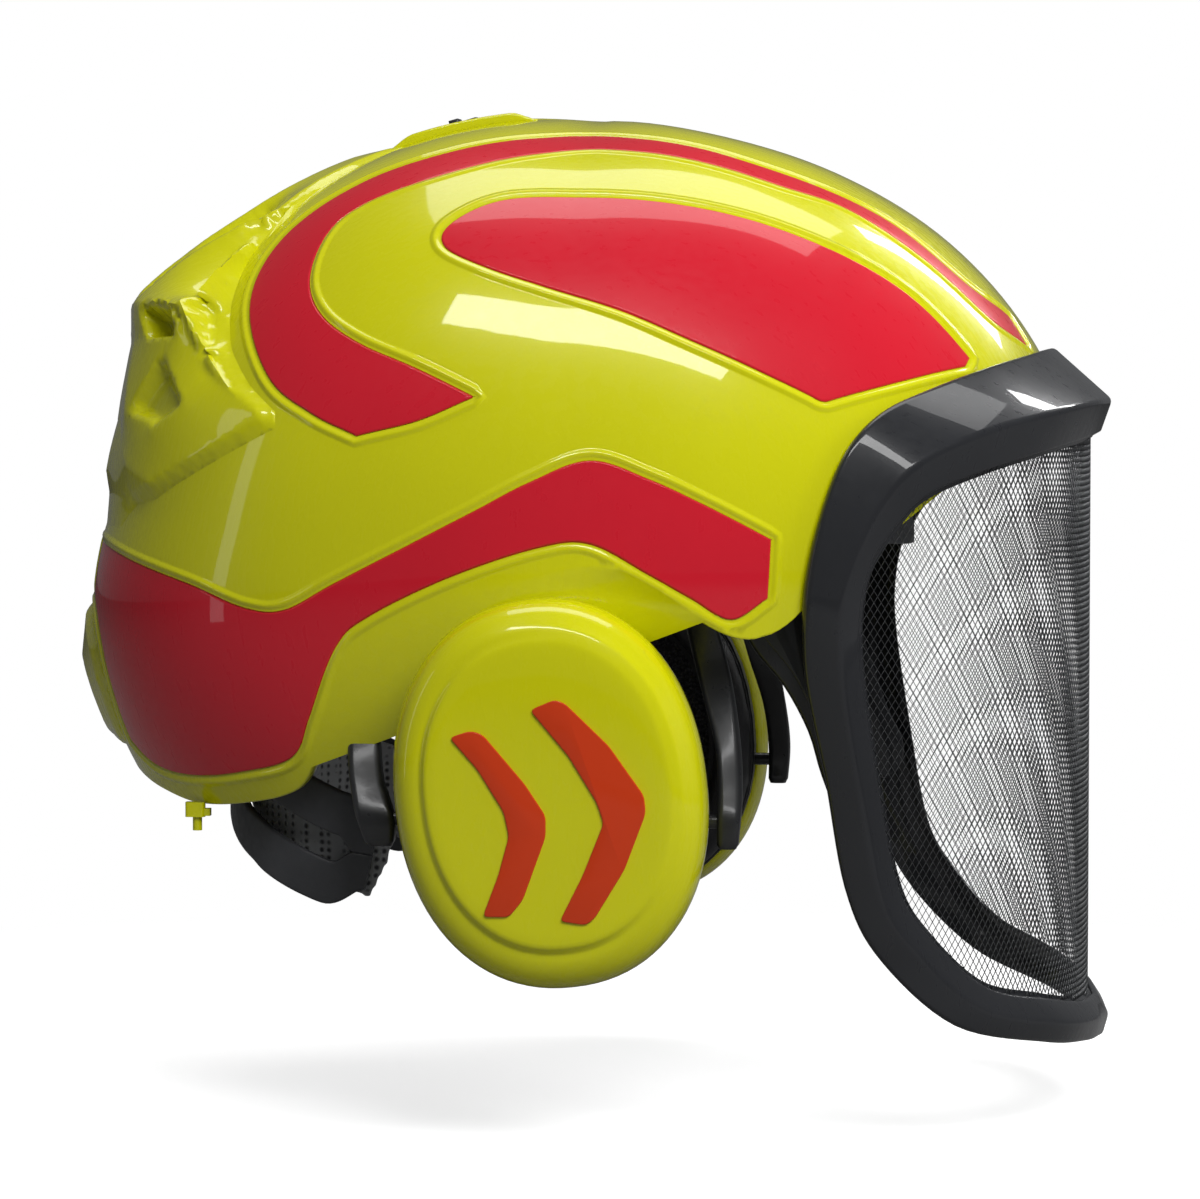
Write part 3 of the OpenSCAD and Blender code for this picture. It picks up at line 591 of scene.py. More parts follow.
# Outlines on the left half, as stretches of [angle from ahead, elevation] that meet in corners.
CROWN_OUTLINE = [
    [(9, 34.5), (17, 39.5), (23, 50.5), (37.5, 62), (49.5, 69), (65.5, 74), (90.5, 77), (113.5, 74),
     (134, 66.5), (146.5, 57.5), (151, 47), (147, 38), (137, 29.5), (128.5, 26), (121, 24)],
    [(121, 24), (112, 27), (103.5, 31)],
    [(103.5, 31), (113.5, 34), (123.5, 36), (131.5, 38.5), (137, 42.5), (140, 49), (138, 54), (125.5, 62),
     (106.5, 69), (88.5, 71.5), (70, 69.5), (42.5, 59), (31.5, 53), (24.5, 44.5), (18, 34.5), (9.5, 30)],
    [(9.5, 30), (9, 34.5)]]
FRONT_OUTLINE = [
    [(27, 30), (33, 40), (46, 50), (64, 57.5), (86.5, 61), (107.5, 59.5), (116.5, 54), (115, 50.5),
     (105.5, 48.5), (94, 46.5), (80.5, 43), (69.5, 38), (59.5, 32.5), (53, 28.5)],
    [(53, 28.5), (52, 27.8), (51, 27.5)],
    [(51, 27.5), (40, 28.5), (28.5, 29)],
    [(28.5, 29), (27, 30)]]
SIDE_OUTLINE = [
    [(60, 11), (69.5, 16.5), (76.5, 20), (85.5, 23), (94.5, 20), (103, 15.5), (113, 10), (123, 4.5),
     (129.5, 1), (135, 1), (143.5, 3.5), (154.5, 5.5), (165, 6.8), (176, 7.2)],
    [(176, 7.2), (176, 1)],
    [(176, 1), (170, 0.8), (166, -2), (164, -8), (163.5, -16)],
    [(163.5, -16), (158, -19), (150, -20.5), (140.5, -20.5), (131.5, -19), (127.5, -13.5), (122.5, -4),
     (118, 0), (106, 6), (93, 10.5), (85.5, 11), (77, 6.5), (71, 3), (65.5, 0), (60.5, 3)],
    [(60.5, 3), (60, 11)]]

POCKET = 0.8          # depth of the recess under an inlay
BEAD, BEAD_W = 0.55, 3.4    # rounded bead round each recess
INLAY_GAP = 0.4
GRID = 1.7            # chart spacing away from the outlines
ROW_STEP = 1.6        # spacing along the rows that follow an outline


def outline_points(stretches):
    """Directions along a closed outline, evenly about ROW_STEP apart on the shell."""
    made = []
    for stretch in stretches:
        dense = through(direction(*np.array(stretch, float).T), 400)
        p = on_shell(dense)
        run = np.concatenate([[0], np.cumsum(np.linalg.norm(np.diff(p, axis=0), axis=1))])
        count = max(int(round(run[-1] / ROW_STEP)), 2)
        wanted = np.linspace(0, run[-1], count + 1)[:-1]
        made.append(np.stack([np.interp(wanted, run, dense[:, k]) for k in range(3)], -1))
    return unit(np.concatenate(made))


def inside(polygon, q):
    """Which points q of the chart are inside the closed polygon."""
    hit = np.zeros(len(q), bool)
    for a, b in zip(polygon, np.roll(polygon, -1, axis=0)):
        crosses = (a[1] > q[:, 1]) != (b[1] > q[:, 1])
        with np.errstate(divide="ignore", invalid="ignore"):
            x = (b[0] - a[0]) * (q[:, 1] - a[1]) / (b[1] - a[1]) + a[0]
        hit ^= crosses & (q[:, 0] < x)
    return hit


def nearest(line, p, closed=True):
    """Distance in millimetres from each p to a polyline, and the nearest place on it."""
    a = line if closed else line[:-1]
    b = np.roll(line, -1, axis=0) if closed else line[1:]
    best, where = np.full(len(p), 1e9), np.zeros_like(p)
    ab = b - a
    for start in range(0, len(p), 2000):
        part = p[start:start + 2000]
        t = ((part[:, None] - a) * ab).sum(-1) / (ab * ab).sum(-1)
        spot = a + np.clip(t, 0, 1)[..., None] * ab
        gap = np.linalg.norm(part[:, None] - spot, axis=-1)
        k = gap.argmin(1)
        rows = np.arange(len(part))
        best[start:start + 2000] = gap[rows, k]
        where[start:start + 2000] = spot[rows, k]
    return best, where


class Outline:
    def __init__(self, stretches):
        self.v = outline_points(stretches)
        self.p = on_shell(self.v)
        self.q = chart(self.v)

    def measure(self, q, p):
        """Signed distance, less than zero inside, and the direction in which it grows."""
        gap, spot = nearest(self.p, p)
        sign = np.where(inside(self.q, q), -1.0, 1.0)
        away = (p - spot) * sign[:, None]
        return gap * sign, away / np.maximum(np.linalg.norm(away, axis=1, keepdims=True), 1e-6)

    def row(self, d):
        """Chart points at signed distance d from the outline, in runs that don't cross it."""
        tangent = unit(np.roll(self.p, -1, axis=0) - np.roll(self.p, 1, axis=0))
        normal = frame_at(self.v)[2]
        side = np.cross(normal, tangent)
        turning = inside(self.q, chart(self.p + side * 0.5)).mean() > 0.5
        p = self.p + (-side if turning else side) * d
        q = chart(p)
        gap = nearest(self.p, on_shell(p))[0]
        keep = np.abs(gap - abs(d)) < 0.12 + 0.04 * abs(d)
        return q, keep


OUTLINES = [Outline(s) for s in (CROWN_OUTLINE, FRONT_OUTLINE, SIDE_OUTLINE)]


def smooth(t):
    t = np.clip(t, 0, 1)
    return t * t * (3 - 2 * t)


def relief(d):
    """Height and slope of the shell at signed distance d from an inlay's outline."""
    step = np.clip((d + 0.25) / 0.27, 0, 1)
    bead = np.where((d > 0) & (d < BEAD_W), np.sin(np.pi * np.clip(d, 0, BEAD_W) / BEAD_W) ** 2, 0)
    h = -POCKET * (1 - step) + BEAD * bead
    slope = np.where((d > 0) & (d < BEAD_W),
                     BEAD * np.pi / BEAD_W * np.sin(2 * np.pi * np.clip(d, 0, BEAD_W) / BEAD_W), 0)
    return h, slope


def bodywork(v):
    """Extra height of the shell apart from the inlays' recesses: the spine at the rear."""
    p = on_shell(v)
    return 1.3 * smooth((-p[:, 0] - 5) / 25) * smooth((11 - np.abs(p[:, 1])) / 3.5)


def triangulate(points, edges):
    out = geometry.delaunay_2d_cdt([Vector(q) for q in points], edges, [], 1, 1e-5, False)
    return np.array([tuple(v) for v in out[0]]), [list(f) for f in out[2]]


def chain(points, made, edges, closed=False, keep=None):
    """Adds a row of chart points, and the edges between neighbours that are kept."""
    index = []
    for k, q in enumerate(points):
        if keep is None or keep[k]:
            index.append(len(made))
            made.append(tuple(q))
        else:
            index.append(-1)
    pairs = zip(index, index[1:] + index[:1]) if closed else zip(index, index[1:])
    edges.extend((a, b) for a, b in pairs if a >= 0 and b >= 0)
    return index


def grid_points(reach, spacing):
    rows = np.arange(-reach, reach, spacing * 0.87)
    made = []
    for k, v in enumerate(rows):
        u = np.arange(-reach, reach, spacing) + (spacing / 2 if k % 2 else 0)
        made.append(np.stack([u, np.full(len(u), v)], -1))
    return np.concatenate(made)


def base_normals(v):
    """Normals of the shell with its spine, worked out by small steps."""
    step = 0.003
    u = unit(v)
    helper = np.where(np.abs(u[:, 2:]) < 0.9, [[0, 0, 1.0]], [[1.0, 0, 0]])
    e1 = unit(np.cross(helper, u))
    e2 = np.cross(u, e1)
    around = (u + e1 * step, u - e1 * step, u + e2 * step, u - e2 * step)
    spots = [on_shell(w) + unit(w) * bodywork(w)[:, None] for w in around]
    n = unit(np.cross(spots[0] - spots[1], spots[2] - spots[3]))
    return n * np.sign((n * u).sum(-1, keepdims=True))


def make_shell():
    points, edges = [], []
    front, rear = 90 - rim(0), 90 - rim(180)
    ahead = np.arange(0, 180.01, 1.0)
    lip_angle = 90 - rim(ahead) - 0.6
    lip = np.stack([lip_angle * np.cos(np.radians(ahead)), lip_angle * np.sin(np.radians(ahead))], -1)
    seam_u = np.linspace(-(rear - 0.6), front - 0.6, 150)
    rim_index = chain(lip, points, edges)
    seam_index = [rim_index[-1]] + chain([(u, 0.0) for u in seam_u[1:-1]], points, edges) + [rim_index[0]]
    edges.extend([(seam_index[0], seam_index[1]), (seam_index[-2], seam_index[-1])])
    lip_gap = 1.2

    def free(q, distance):
        """True where chart points are clear of the rim, the seam and the other outlines' rows."""
        a = np.degrees(np.arctan2(q[:, 1], q[:, 0]))
        room = (90 - rim(a) - np.hypot(q[:, 0], q[:, 1])) > distance
        return room & (q[:, 1] > 0.6)

    for outline in OUTLINES:
        for d in (-1.0, -0.25, 0.02, 0.7, 1.4, 2.1, 2.8, 3.5):
            q, keep = outline.row(d)
            chain(q, points, edges, True, keep & free(q, lip_gap))
    grid = grid_points(118, GRID)
    grid = grid[free(grid, lip_gap + 0.6)]
    grid_p = on_shell(unchart(grid))
    for outline in OUTLINES:
        gap = nearest(outline.p, grid_p)[0]
        keep = (gap > 4.6) | ((gap > 2.4) & inside(outline.q, grid))
        grid, grid_p = grid[keep], grid_p[keep]
    points.extend(map(tuple, grid))
    flat, faces = triangulate(points, edges)

    v = unchart(flat)
    p = on_shell(v)
    base = base_normals(v)
    height = bodywork(v)
    normal = base.copy()
    for outline in OUTLINES:
        d, away = outline.measure(flat, p)
        h, slope = relief(d)
        height = height + np.where(d < BEAD_W, h, 0)
        away = away - base * (away * base).sum(-1, keepdims=True)
        normal = normal - away * slope[:, None]
    normal = unit(normal)
    outer = p + base * height[:, None]
    inner = on_shell(v, -wall)

    on_rim = {tuple(np.round(points[i], 4)): k for k, i in enumerate(rim_index)}
    rim_rows = [None] * len(rim_index)
    for k, q in enumerate(flat):
        spot = on_rim.get(tuple(np.round(q, 4)))
        if spot is not None:
            rim_rows[spot] = k
    rim_rows = [k for k in rim_rows if k is not None]
    down = unit(-np.array([[0, 0, 1.0]]) + base[rim_rows] * base[rim_rows, 2:])
    lips = []
    turns = 4
    for t in range(1, turns):
        a = math.pi * t / turns
        middle = (outer[rim_rows] + inner[rim_rows]) / 2
        half = (outer[rim_rows] - inner[rim_rows]) / 2
        lips.append(middle + half * math.cos(a) + down * math.sin(a) * 0.9)
    n = len(flat)
    count = len(rim_rows)
    all_points = np.concatenate([outer, inner] + lips)
    lip_normals = [unit((lips[t] - (outer[rim_rows] + inner[rim_rows]) / 2)) for t in range(turns - 1)]
    all_normals = np.concatenate([normal, -base] + lip_normals)
    all_faces = list(faces) + [[a + n for a in f[::-1]] for f in faces]
    rows = [rim_rows] + [list(range(2 * n + t * count, 2 * n + (t + 1) * count)) for t in range(turns - 1)]
    rows.append([k + n for k in rim_rows])
    for upper, lower in zip(rows, rows[1:]):
        for k in range(count - 1):
            all_faces.append([upper[k], lower[k], lower[k + 1], upper[k + 1]])
    f = faces[0]
    if np.dot(np.cross(outer[f[1]] - outer[f[0]], outer[f[2]] - outer[f[0]]), base[f[0]]) < 0:
        all_faces[:2 * len(faces)] = flipped(all_faces[:2 * len(faces)])
    k = 2 * len(faces) + (count - 1) // 2
    g = all_faces[k]
    mid = np.cross(all_points[g[1]] - all_points[g[0]], all_points[g[2]] - all_points[g[0]])
    if np.dot(mid, all_normals[g[1]]) < 0:
        all_faces[2 * len(faces):] = flipped(all_faces[2 * len(faces):])

    total = len(all_points)
    on_seam = np.abs(all_points[:, 1]) < 0.02
    all_points[on_seam, 1] = 0
    all_normals[on_seam, 1] = 0
    twin = np.where(on_seam, np.arange(total), -1)
    twin[~on_seam] = total + np.arange((~on_seam).sum())
    both_points = np.concatenate([all_points, mirrored(all_points[~on_seam])])
    both_normals = unit(np.concatenate([all_normals, mirrored(all_normals[~on_seam])]))
    both_faces = all_faces + flipped([[int(twin[a]) for a in f] for f in all_faces])
    shell = mesh_object("helmet_shell", both_points, both_faces, MATS["lime"], normals=both_normals)
    place(shell, "shell", "lime_shell", "outer_shell")


def make_inlay(name, outline):
    """Closed red plate that fills one recess, with a soft rounded edge."""
    points, edges = [], []
    for d in (-INLAY_GAP, -INLAY_GAP - 0.18, -INLAY_GAP - 0.6):
        q, keep = outline.row(d)
        chain(q, points, edges, True, keep)
    grid = grid_points(118, GRID)
    grid = grid[inside(outline.q, grid)]
    gap = nearest(outline.p, on_shell(unchart(grid)))[0]
    points.extend(map(tuple, grid[gap > 2.2]))
    flat, faces = triangulate(points, edges)
    v = unchart(flat)
    p = on_shell(v)
    d, away = outline.measure(flat, p)
    depth = -d - INLAY_GAP
    base = base_normals(v)
    height = -0.12 - 0.3 * (1 - np.clip(depth / 0.6, 0, 1)) ** 2
    slope = -0.3 * 2 * (1 - np.clip(depth / 0.6, 0, 1)) / 0.6
    away = away - base * (away * base).sum(-1, keepdims=True)
    normal = unit(base - away * slope[:, None])
    spots = p + base * (height + bodywork(v))[:, None]
    under = p + base * (bodywork(v) - POCKET + 0.03)[:, None]
    n = len(flat)
    seen = {}
    for f in faces:
        for a, b in zip(f, f[1:] + f[:1]):
            seen[(a, b)] = seen.get((a, b), 0) + 1
    border = [(a, b) for (a, b) in seen if (b, a) not in seen]
    all_faces = list(faces) + [[a + n for a in f[::-1]] for f in faces]
    all_faces += [[b, a, a + n, b + n] for a, b in border]
    all_points = np.concatenate([spots, under])
    f = faces[0]
    if np.dot(np.cross(spots[f[1]] - spots[f[0]], spots[f[2]] - spots[f[0]]), base[f[0]]) < 0:
        all_faces = flipped(all_faces)
    all_normals = np.concatenate([normal, -base])
    for side, sign in SIDES.items():
        pts = all_points if sign > 0 else mirrored(all_points)
        nrm = all_normals if sign > 0 else mirrored(all_normals)
        fcs = all_faces if sign > 0 else flipped(all_faces)
        obj = mesh_object(f"{name}_{side}_red", pts, fcs, MATS["red"], normals=nrm)
        place(obj, "shell", "red_inlay", f"{name}_{side}")


make_shell()
for inlay, shape in zip(("crown_inlay", "front_inlay", "side_inlay"), OUTLINES):
    make_inlay(inlay, shape)


# ---------------------------------------------------------------- visor

VISOR_W, VISOR_X, VISOR_DEPTH, VISOR_POWER = 104, 64, 89, 2.3
FRAME_T = 3.4
FRAME_ON_SHELL = [[0, 29.3], [13, 29], [26, 28.2], [37, 26.8], [45, 24.8], [50.5, 20.5], [54.5, 12.5],
                  [56.5, 3]]
FRAME_OUTER = [[70, -105, -16], [76, -104, -46], [82, -103, -78], [92, -101, -98], [114, -93, -118],
               [140, -63, -126.5], [151, -34, -130], [155, 0, -133]]
FRAME_RIDGE = [[157, 0, 62], [153, -36, 62], [143, -64, 60], [124, -86, 55], [104, -99, 46], [92, -103, 33],
               [85, -105.5, 18], [81, -106.5, 2], [81, -106, -16], [86, -104.5, -49], [92, -102.5, -79],
               [103, -99, -97], [122, -88, -114], [144, -61, -121], [153.5, -33, -124], [157, 0, -126]]
FRAME_OPENING = [[153.5, 0, 52], [150, -34, 51], [139, -64, 48], [122, -84, 43], [105, -96, 36],
                 [96, -99.5, 27], [89, -101.5, 16], [86, -102, 3], [86, -102, -14], [91, -100.5, -47],
                 [97, -98.5, -77], [106, -95, -92], [122, -84, -107.5], [139, -61, -113.5],
                 [149.5, -33, -118], [153.5, 0, -120]]


def visor_plan(turn, z, offset):
    """Place on the visor's surface at this angle round from straight ahead, in degrees."""
    c, s = np.cos(np.radians(turn)), np.sin(np.radians(turn))
    return np.stack([VISOR_X + (VISOR_DEPTH + offset) * np.abs(c) ** (2 / VISOR_POWER),
                     (VISOR_W + offset) * np.sign(s) * np.abs(s) ** (2 / VISOR_POWER), z + 0 * c], -1)


def visor_turn(p):
    return np.degrees(np.arctan2((np.abs(p[..., 1]) / VISOR_W) ** (VISOR_POWER / 2),
                                 (np.maximum(p[..., 0] - VISOR_X, 0) / VISOR_DEPTH) ** (VISOR_POWER / 2)))


def visor_normal(p):
    gx = (np.maximum(p[..., 0] - VISOR_X, 0) / VISOR_DEPTH) ** (VISOR_POWER - 1) / VISOR_DEPTH
    gy = np.sign(p[..., 1]) * (np.abs(p[..., 1]) / VISOR_W) ** (VISOR_POWER - 1) / VISOR_W
    return unit(np.stack([gx, gy, 0 * gx], -1))


def frame_sections():
    """Six-cornered sections of the right half of the visor frame, from brow to chin."""
    on = direction(*(np.array(FRAME_ON_SHELL, float) * [-1, 1]).T)
    low = np.array(FRAME_OUTER, float)
    outer = np.concatenate([on_shell(on, 1 + FRAME_T), low])
    outer_in = np.concatenate([on_shell(on, 1), low - FRAME_T * visor_normal(low)])
    ridge, opening = np.array(FRAME_RIDGE, float), np.array(FRAME_OPENING, float)
    hood = np.zeros((len(ridge), 3))
    hood[:5, 2], hood[13:, 2] = 0.7, -0.4
    slope = unit(visor_normal(ridge) + hood)
    opening_in = opening - 2 * visor_normal(opening)
    return np.stack([outer, ridge, opening, opening_in, ridge - FRAME_T * slope, outer_in], 1)


def make_visor_frame():
    half = through(frame_sections(), 110)
    left = half[1:-1][::-1] * [1, -1, 1]
    rings = [rounded(section, 1.6, 3) for section in np.concatenate([half, left])]
    frame_piece = sweep("visor_frame_rim", rings, MATS["visor"], loop=True, sharp=50)
    place(frame_piece, "visor", "visor_frame", "visor_frame")
    lip = []
    for section in np.concatenate([half, left]):
        inward = unit(section[3] - section[2])
        edge = unit(section[2] - section[1])
        start = section[2] + inward * 2.0 - edge * 1.5
        lip.append([start, start + edge * 3.2, start + edge * 3.2 + inward * 1.4, start + inward * 1.4])
    lip = [rounded(s, 0.4, 2) for s in lip]
    holder = sweep("visor_mesh_holder", lip, MATS["visor"], loop=True, sharp=50)
    place(holder, "visor", "visor_frame")


MESH_ROW, MESH_PITCH, WIRE = 1.75, 2.15, 0.21


def prism(path, radius, across):
    """Three-sided wire along a path of points."""
    ahead = unit(np.gradient(path, axis=0))
    side = unit(np.cross(ahead, across))
    up = np.cross(side, ahead)
    ring = []
    for k in range(3):
        a = math.radians(90 + 120 * k)
        ring.append(path + radius * (math.cos(a) * side + math.sin(a) * up))
    return np.stack(ring, 1).reshape(-1, 3)


def make_visor_mesh():
    """Rows of zigzag wires that touch, so that the holes between them are small hexagons."""
    opening = np.array(FRAME_OPENING, float)
    dense = through(opening, 300)
    reach = visor_turn(dense) + 1.0
    top, bottom = dense[0, 2] + 1, dense[-1, 2] - 1
    order = np.argsort(dense[:, 2])
    points, faces, first = [], [], 0
    levels = np.arange(bottom, top, MESH_ROW)
    for row, z in enumerate(levels):
        widest = np.interp(z, dense[order, 2], reach[order])
        turns = np.linspace(-widest, widest, 240)
        flat = visor_plan(turns, np.full_like(turns, z), -2.7)
        run = np.concatenate([[0], np.cumsum(np.linalg.norm(np.diff(flat, axis=0), axis=1))])
        run -= run[len(run) // 2]
        phase = (row % 2) * MESH_PITCH / 2
        low = math.ceil((run[0] - phase) / MESH_PITCH)
        high = math.floor((run[-1] - phase) / MESH_PITCH)
        marks, heights = [], []
        for k in range(low, high):
            at = phase + k * MESH_PITCH
            marks += [at, at + MESH_PITCH / 2]
            heights += [0.0, MESH_ROW]
        if len(marks) < 3:
            continue
        turn = np.interp(marks, run, turns)
        levels_here = z + np.array(heights)
        path = visor_plan(turn, levels_here, -2.7)
        wire = prism(path, WIRE, visor_normal(path))
        made = tube_faces(len(path), 3, False)
        points.append(wire)
        faces += [[a + first for a in f] for f in made]
        first += len(wire)
    mesh_piece = mesh_object("visor_wire_mesh", np.concatenate(points), faces, MATS["mesh"])
    place(mesh_piece, "visor", "visor_mesh", "visor_mesh")


ARM_OUTLINE = [[8, 14], [8, 24], [13, 27], [24, 30], [36, 40], [50, 37], [64, 25], [71, 6], [76, -14],
               [84, -38], [90, -52], [86, -62], [80, -60], [74, -46], [70, -33], [63, -20], [54, -9],
               [48, 4], [46, 18], [40, 26], [32, 22], [23, 13], [16, 11]]
ARM_Y, ARM_T = 88.4, 3.0


def smooth_loop(points, cuts):
    """Closed Catmull-Rom curve through corner points, in the plane."""
    p = np.array(points, float)
    n = len(p)
    made = []
    for i in range(n):
        a, b, c, d = p[i - 1], p[i], p[(i + 1) % n], p[(i + 2) % n]
        for k in range(cuts):
            u = k / cuts
            made.append(0.5 * (2 * b + (c - a) * u + (2 * a - 5 * b + 4 * c - d) * u ** 2
                               + (3 * b - a - 3 * c + d) * u ** 3))
    return np.array(made)


def inset(outline, distance):
    """Closed outline moved inwards, for shallow rounds on a plate's edge."""
    p = np.asarray(outline, float)
    tangent = np.roll(p, -1, axis=0) - np.roll(p, 1, axis=0)
    area = (p[:, 0] * np.roll(p[:, 1], -1) - p[:, 1] * np.roll(p[:, 0], -1)).sum()
    normal = np.stack([-tangent[:, 1], tangent[:, 0]], -1) * (1 if area > 0 else -1)
    return p + unit(normal) * distance


def edge_profile(thickness, radius, cuts=4):
    """Steps of [inset, height] round the edge of a plate from its back to its front."""
    turns = [math.pi / 2 * k / cuts for k in range(cuts + 1)]
    lower = [(radius * (1 - math.sin(t)), radius * (1 - math.cos(t))) for t in turns]
    return lower + [(i, thickness - h) for i, h in lower[::-1]]


def plate(name, outline, y_back, y_front, radius, mat, side, sharp=40, cuts=4):
    """Plate in the XZ plane with rounded edges, its outline smooth and y measured outwards."""
    profile = edge_profile(abs(y_front - y_back), radius, cuts)
    away = 1 if y_front > y_back else -1
    rings = []
    for i, h in profile:
        ring = inset(outline, i)
        rings.append(np.stack([ring[:, 0], np.full(len(ring), side * (y_back + away * h)), ring[:, 1]], -1))
    return sweep(name, rings, mat, sharp=sharp)


def make_visor_arms():
    outline = smooth_loop(ARM_OUTLINE, 4)
    for side, sign in SIDES.items():
        arm = plate(f"visor_arm_{side}_plate", outline, ARM_Y - ARM_T / 2, ARM_Y + ARM_T / 2, 1.2,
                    MATS["visor"], sign)
        place(arm, "visor", "visor_frame", f"visor_arm_{side}")
        shoe_path = [(82, sign * ARM_Y, -52), (83, sign * 94, -51.5), (84, sign * 100.5, -51)]
        widths = [1.25, 1.1, 1, 1, 1, 1, 1, 1.1, 1.2]
        ring = strap_sections(shoe_path, 10, 7, (0, 0, 1), 8, 2.5, widths)[0]
        shoe = sweep(f"visor_arm_{side}_shoe", ring, MATS["visor"], sharp=60)
        place(shoe, "visor", "visor_frame")
        rib = smooth_loop([[13, 20], [24, 24], [37, 33], [50, 31], [60, 21], [67, 4], [72, -16],
                           [79, -38], [84, -51], [81, -52], [76, -38], [71, -26], [65, -15], [57, -5],
                           [52, 6], [49.5, 18], [46, 27], [37, 29.5], [25, 20], [16, 17]], 4)
        raised = plate(f"visor_arm_{side}_rib", rib, ARM_Y + ARM_T / 2 - 0.2, ARM_Y + ARM_T / 2 + 0.55, 0.35,
                       MATS["visor"], sign, cuts=2)
        place(raised, "visor", "visor_frame")


make_visor_frame()
make_visor_mesh()
make_visor_arms()


# ---------------------------------------------------------------- ear muffs

CUP_CENTRE, CUP_L, CUP_H, CUP_LEAN, CUP_POWER = (-1.8, -49), 45, 56, 7, 0.92
CUP_RIM_Y, CUP_FACE_Y = 108.7, 133
RING_Y = 100.5


def cup_oval(scale_l, scale_h, count=96, shift=(0, 0)):
    t = np.radians(np.arange(count) * 360 / count)
    x = CUP_L * scale_l * np.sign(np.cos(t)) * np.abs(np.cos(t)) ** CUP_POWER + shift[0]
    z = CUP_H * scale_h * np.sign(np.sin(t)) * np.abs(np.sin(t)) ** CUP_POWER + shift[1]
    c, s = math.cos(math.radians(CUP_LEAN)), math.sin(math.radians(CUP_LEAN))
    return np.stack([CUP_CENTRE[0] + x * c - z * s, CUP_CENTRE[1] + x * s + z * c], -1)


def ring_at(outline, y, sign):
    return np.stack([outline[:, 0], np.full(len(outline), sign * y), outline[:, 1]], -1)


def make_cup(side, sign):
    """Dome with a raised face, whose step fades out towards the top and front."""
    count = 96
    steps = [(0, 0.93), (1.5, 0.955), (3, 0.97), (5.5, 0.988), (8, 1), (10.5, 1.0), (13, 0.993),
             (15.5, 0.98), (18, 0.957), (19.8, 0.925), (21.2, 0.885)]
    rings = [ring_at(cup_oval(s, s, count), CUP_RIM_Y + y, sign) for y, s in steps]
    t = np.radians(np.arange(count) * 360 / count)
    turn = (np.degrees(t) - 215) / 360
    ledge = 0.5 + 0.5 * np.cos(2 * np.pi * turn)
    ledge = smooth(ledge * 1.35 - 0.1)
    face = [(0.86, 21.9, 21.9), (0.84, 22.4, 22.1), (0.825, 22.75, 22.15), (0.805, 23.1, 22.3),
            (0.79, 23.4, 23.5), (0.775, 23.6, 24.05), (0.755, 23.75, 24.25), (0.7, 23.95, 24.3),
            (0.6, 24.1, 24.32), (0.45, 24.25, 24.35), (0.3, 24.33, 24.37), (0.15, 24.36, 24.38)]
    for scale, plain, stepped in face:
        oval = cup_oval(scale, scale, count, (0.8, 0.6))
        y = CUP_RIM_Y + plain + (stepped - plain) * ledge
        rings.append(np.stack([oval[:, 0], sign * y, oval[:, 1]], -1))
    inner = [(0.72, 19.5), (0.83, 18.5), (0.89, 16), (0.93, 10), (0.9, 3), (0.875, 0)]
    outside = np.array(rings)
    tip = cup_oval(0.001, 0.001, count, (0.8, 0.6))
    outside = np.concatenate([outside, [ring_at(tip, CUP_RIM_Y + 24.38, sign)]])
    inside_rings = [ring_at(tip, CUP_RIM_Y + 20, sign)] + [
        ring_at(cup_oval(s, s, count), CUP_RIM_Y + y, sign) for s, y in inner]
    points = np.concatenate([outside, inside_rings])
    faces = tube_faces(len(points), count, False, caps=False)
    last = (len(points) - 1) * count
    for j in range(count):
        faces.append([last + j, last + (j + 1) % count, (j + 1) % count, j])
    flat = points.reshape(-1, 3)
    cup = mesh_object(f"cup_shell_{side}_dome", flat, outward(flat, faces), MATS["lime"], sharp=60)
    place(cup, f"{side}_ear_cup", "lime_shell", f"cup_shell_{side}")


REAR_CHEVRON = [[-29, -32], [-23, -30], [-19.5, -31], [-7.5, -45], [-1.5, -54], [-1.5, -60], [-8, -78],
                [-12, -83], [-19.5, -83], [-15, -71], [-12, -60], [-13.5, -53], [-21, -41]]
FRONT_CHEVRON = [[-6, -24], [1, -21], [4, -22], [16.5, -34], [26.5, -48], [27, -53], [21, -69], [12.5, -83],
                 [10, -85], [2.5, -84], [9, -71], [15, -56], [13, -50], [5, -37]]


def make_chevrons(side, sign):
    for name, outline in (("rear", REAR_CHEVRON), ("front", FRONT_CHEVRON)):
        flat = rounded(outline, 1.6, 3)
        chevron = plate(f"chevron_{name}_{side}", flat, CUP_FACE_Y - 0.3, CUP_FACE_Y + 0.75, 0.35,
                        MATS["orange"], sign, cuts=3)
        stands_for = [f"cup_chevrons_{side}"] if name == "rear" else []
        place(chevron, f"{side}_ear_cup", "orange_chevron", *stands_for)


def swollen(name, points, faces, voxel, cap, pressure, mat):
    """Padded form: the closed mesh is remeshed, blown up a little as cloth, and softened."""
    obj = mesh_object(name, points, faces, mat)
    bpy.context.view_layer.objects.active = obj
    remesh = obj.modifiers.new("remesh", "REMESH")
    remesh.mode = "VOXEL"
    remesh.voxel_size = voxel * MM
    remesh.use_smooth_shade = True
    apply_modifiers(obj)
    puff(obj, cap, pressure)
    soften = obj.modifiers.new("soften", "SMOOTH")
    soften.factor = 0.5
    soften.iterations = 4
    subdivide = obj.modifiers.new("subdivide", "SUBSURF")
    subdivide.levels = subdivide.render_levels = 1
    apply_modifiers(obj)
    obj.data.polygons.foreach_set("use_smooth", [True] * len(obj.data.polygons))
    return obj


def apply_modifiers(obj):
    graph = bpy.context.evaluated_depsgraph_get()
    made = bpy.data.meshes.new_from_object(obj.evaluated_get(graph), depsgraph=graph)
    old = obj.data
    obj.modifiers.clear()
    obj.data = made
    if not made.materials:
        made.materials.append(old.materials[0])


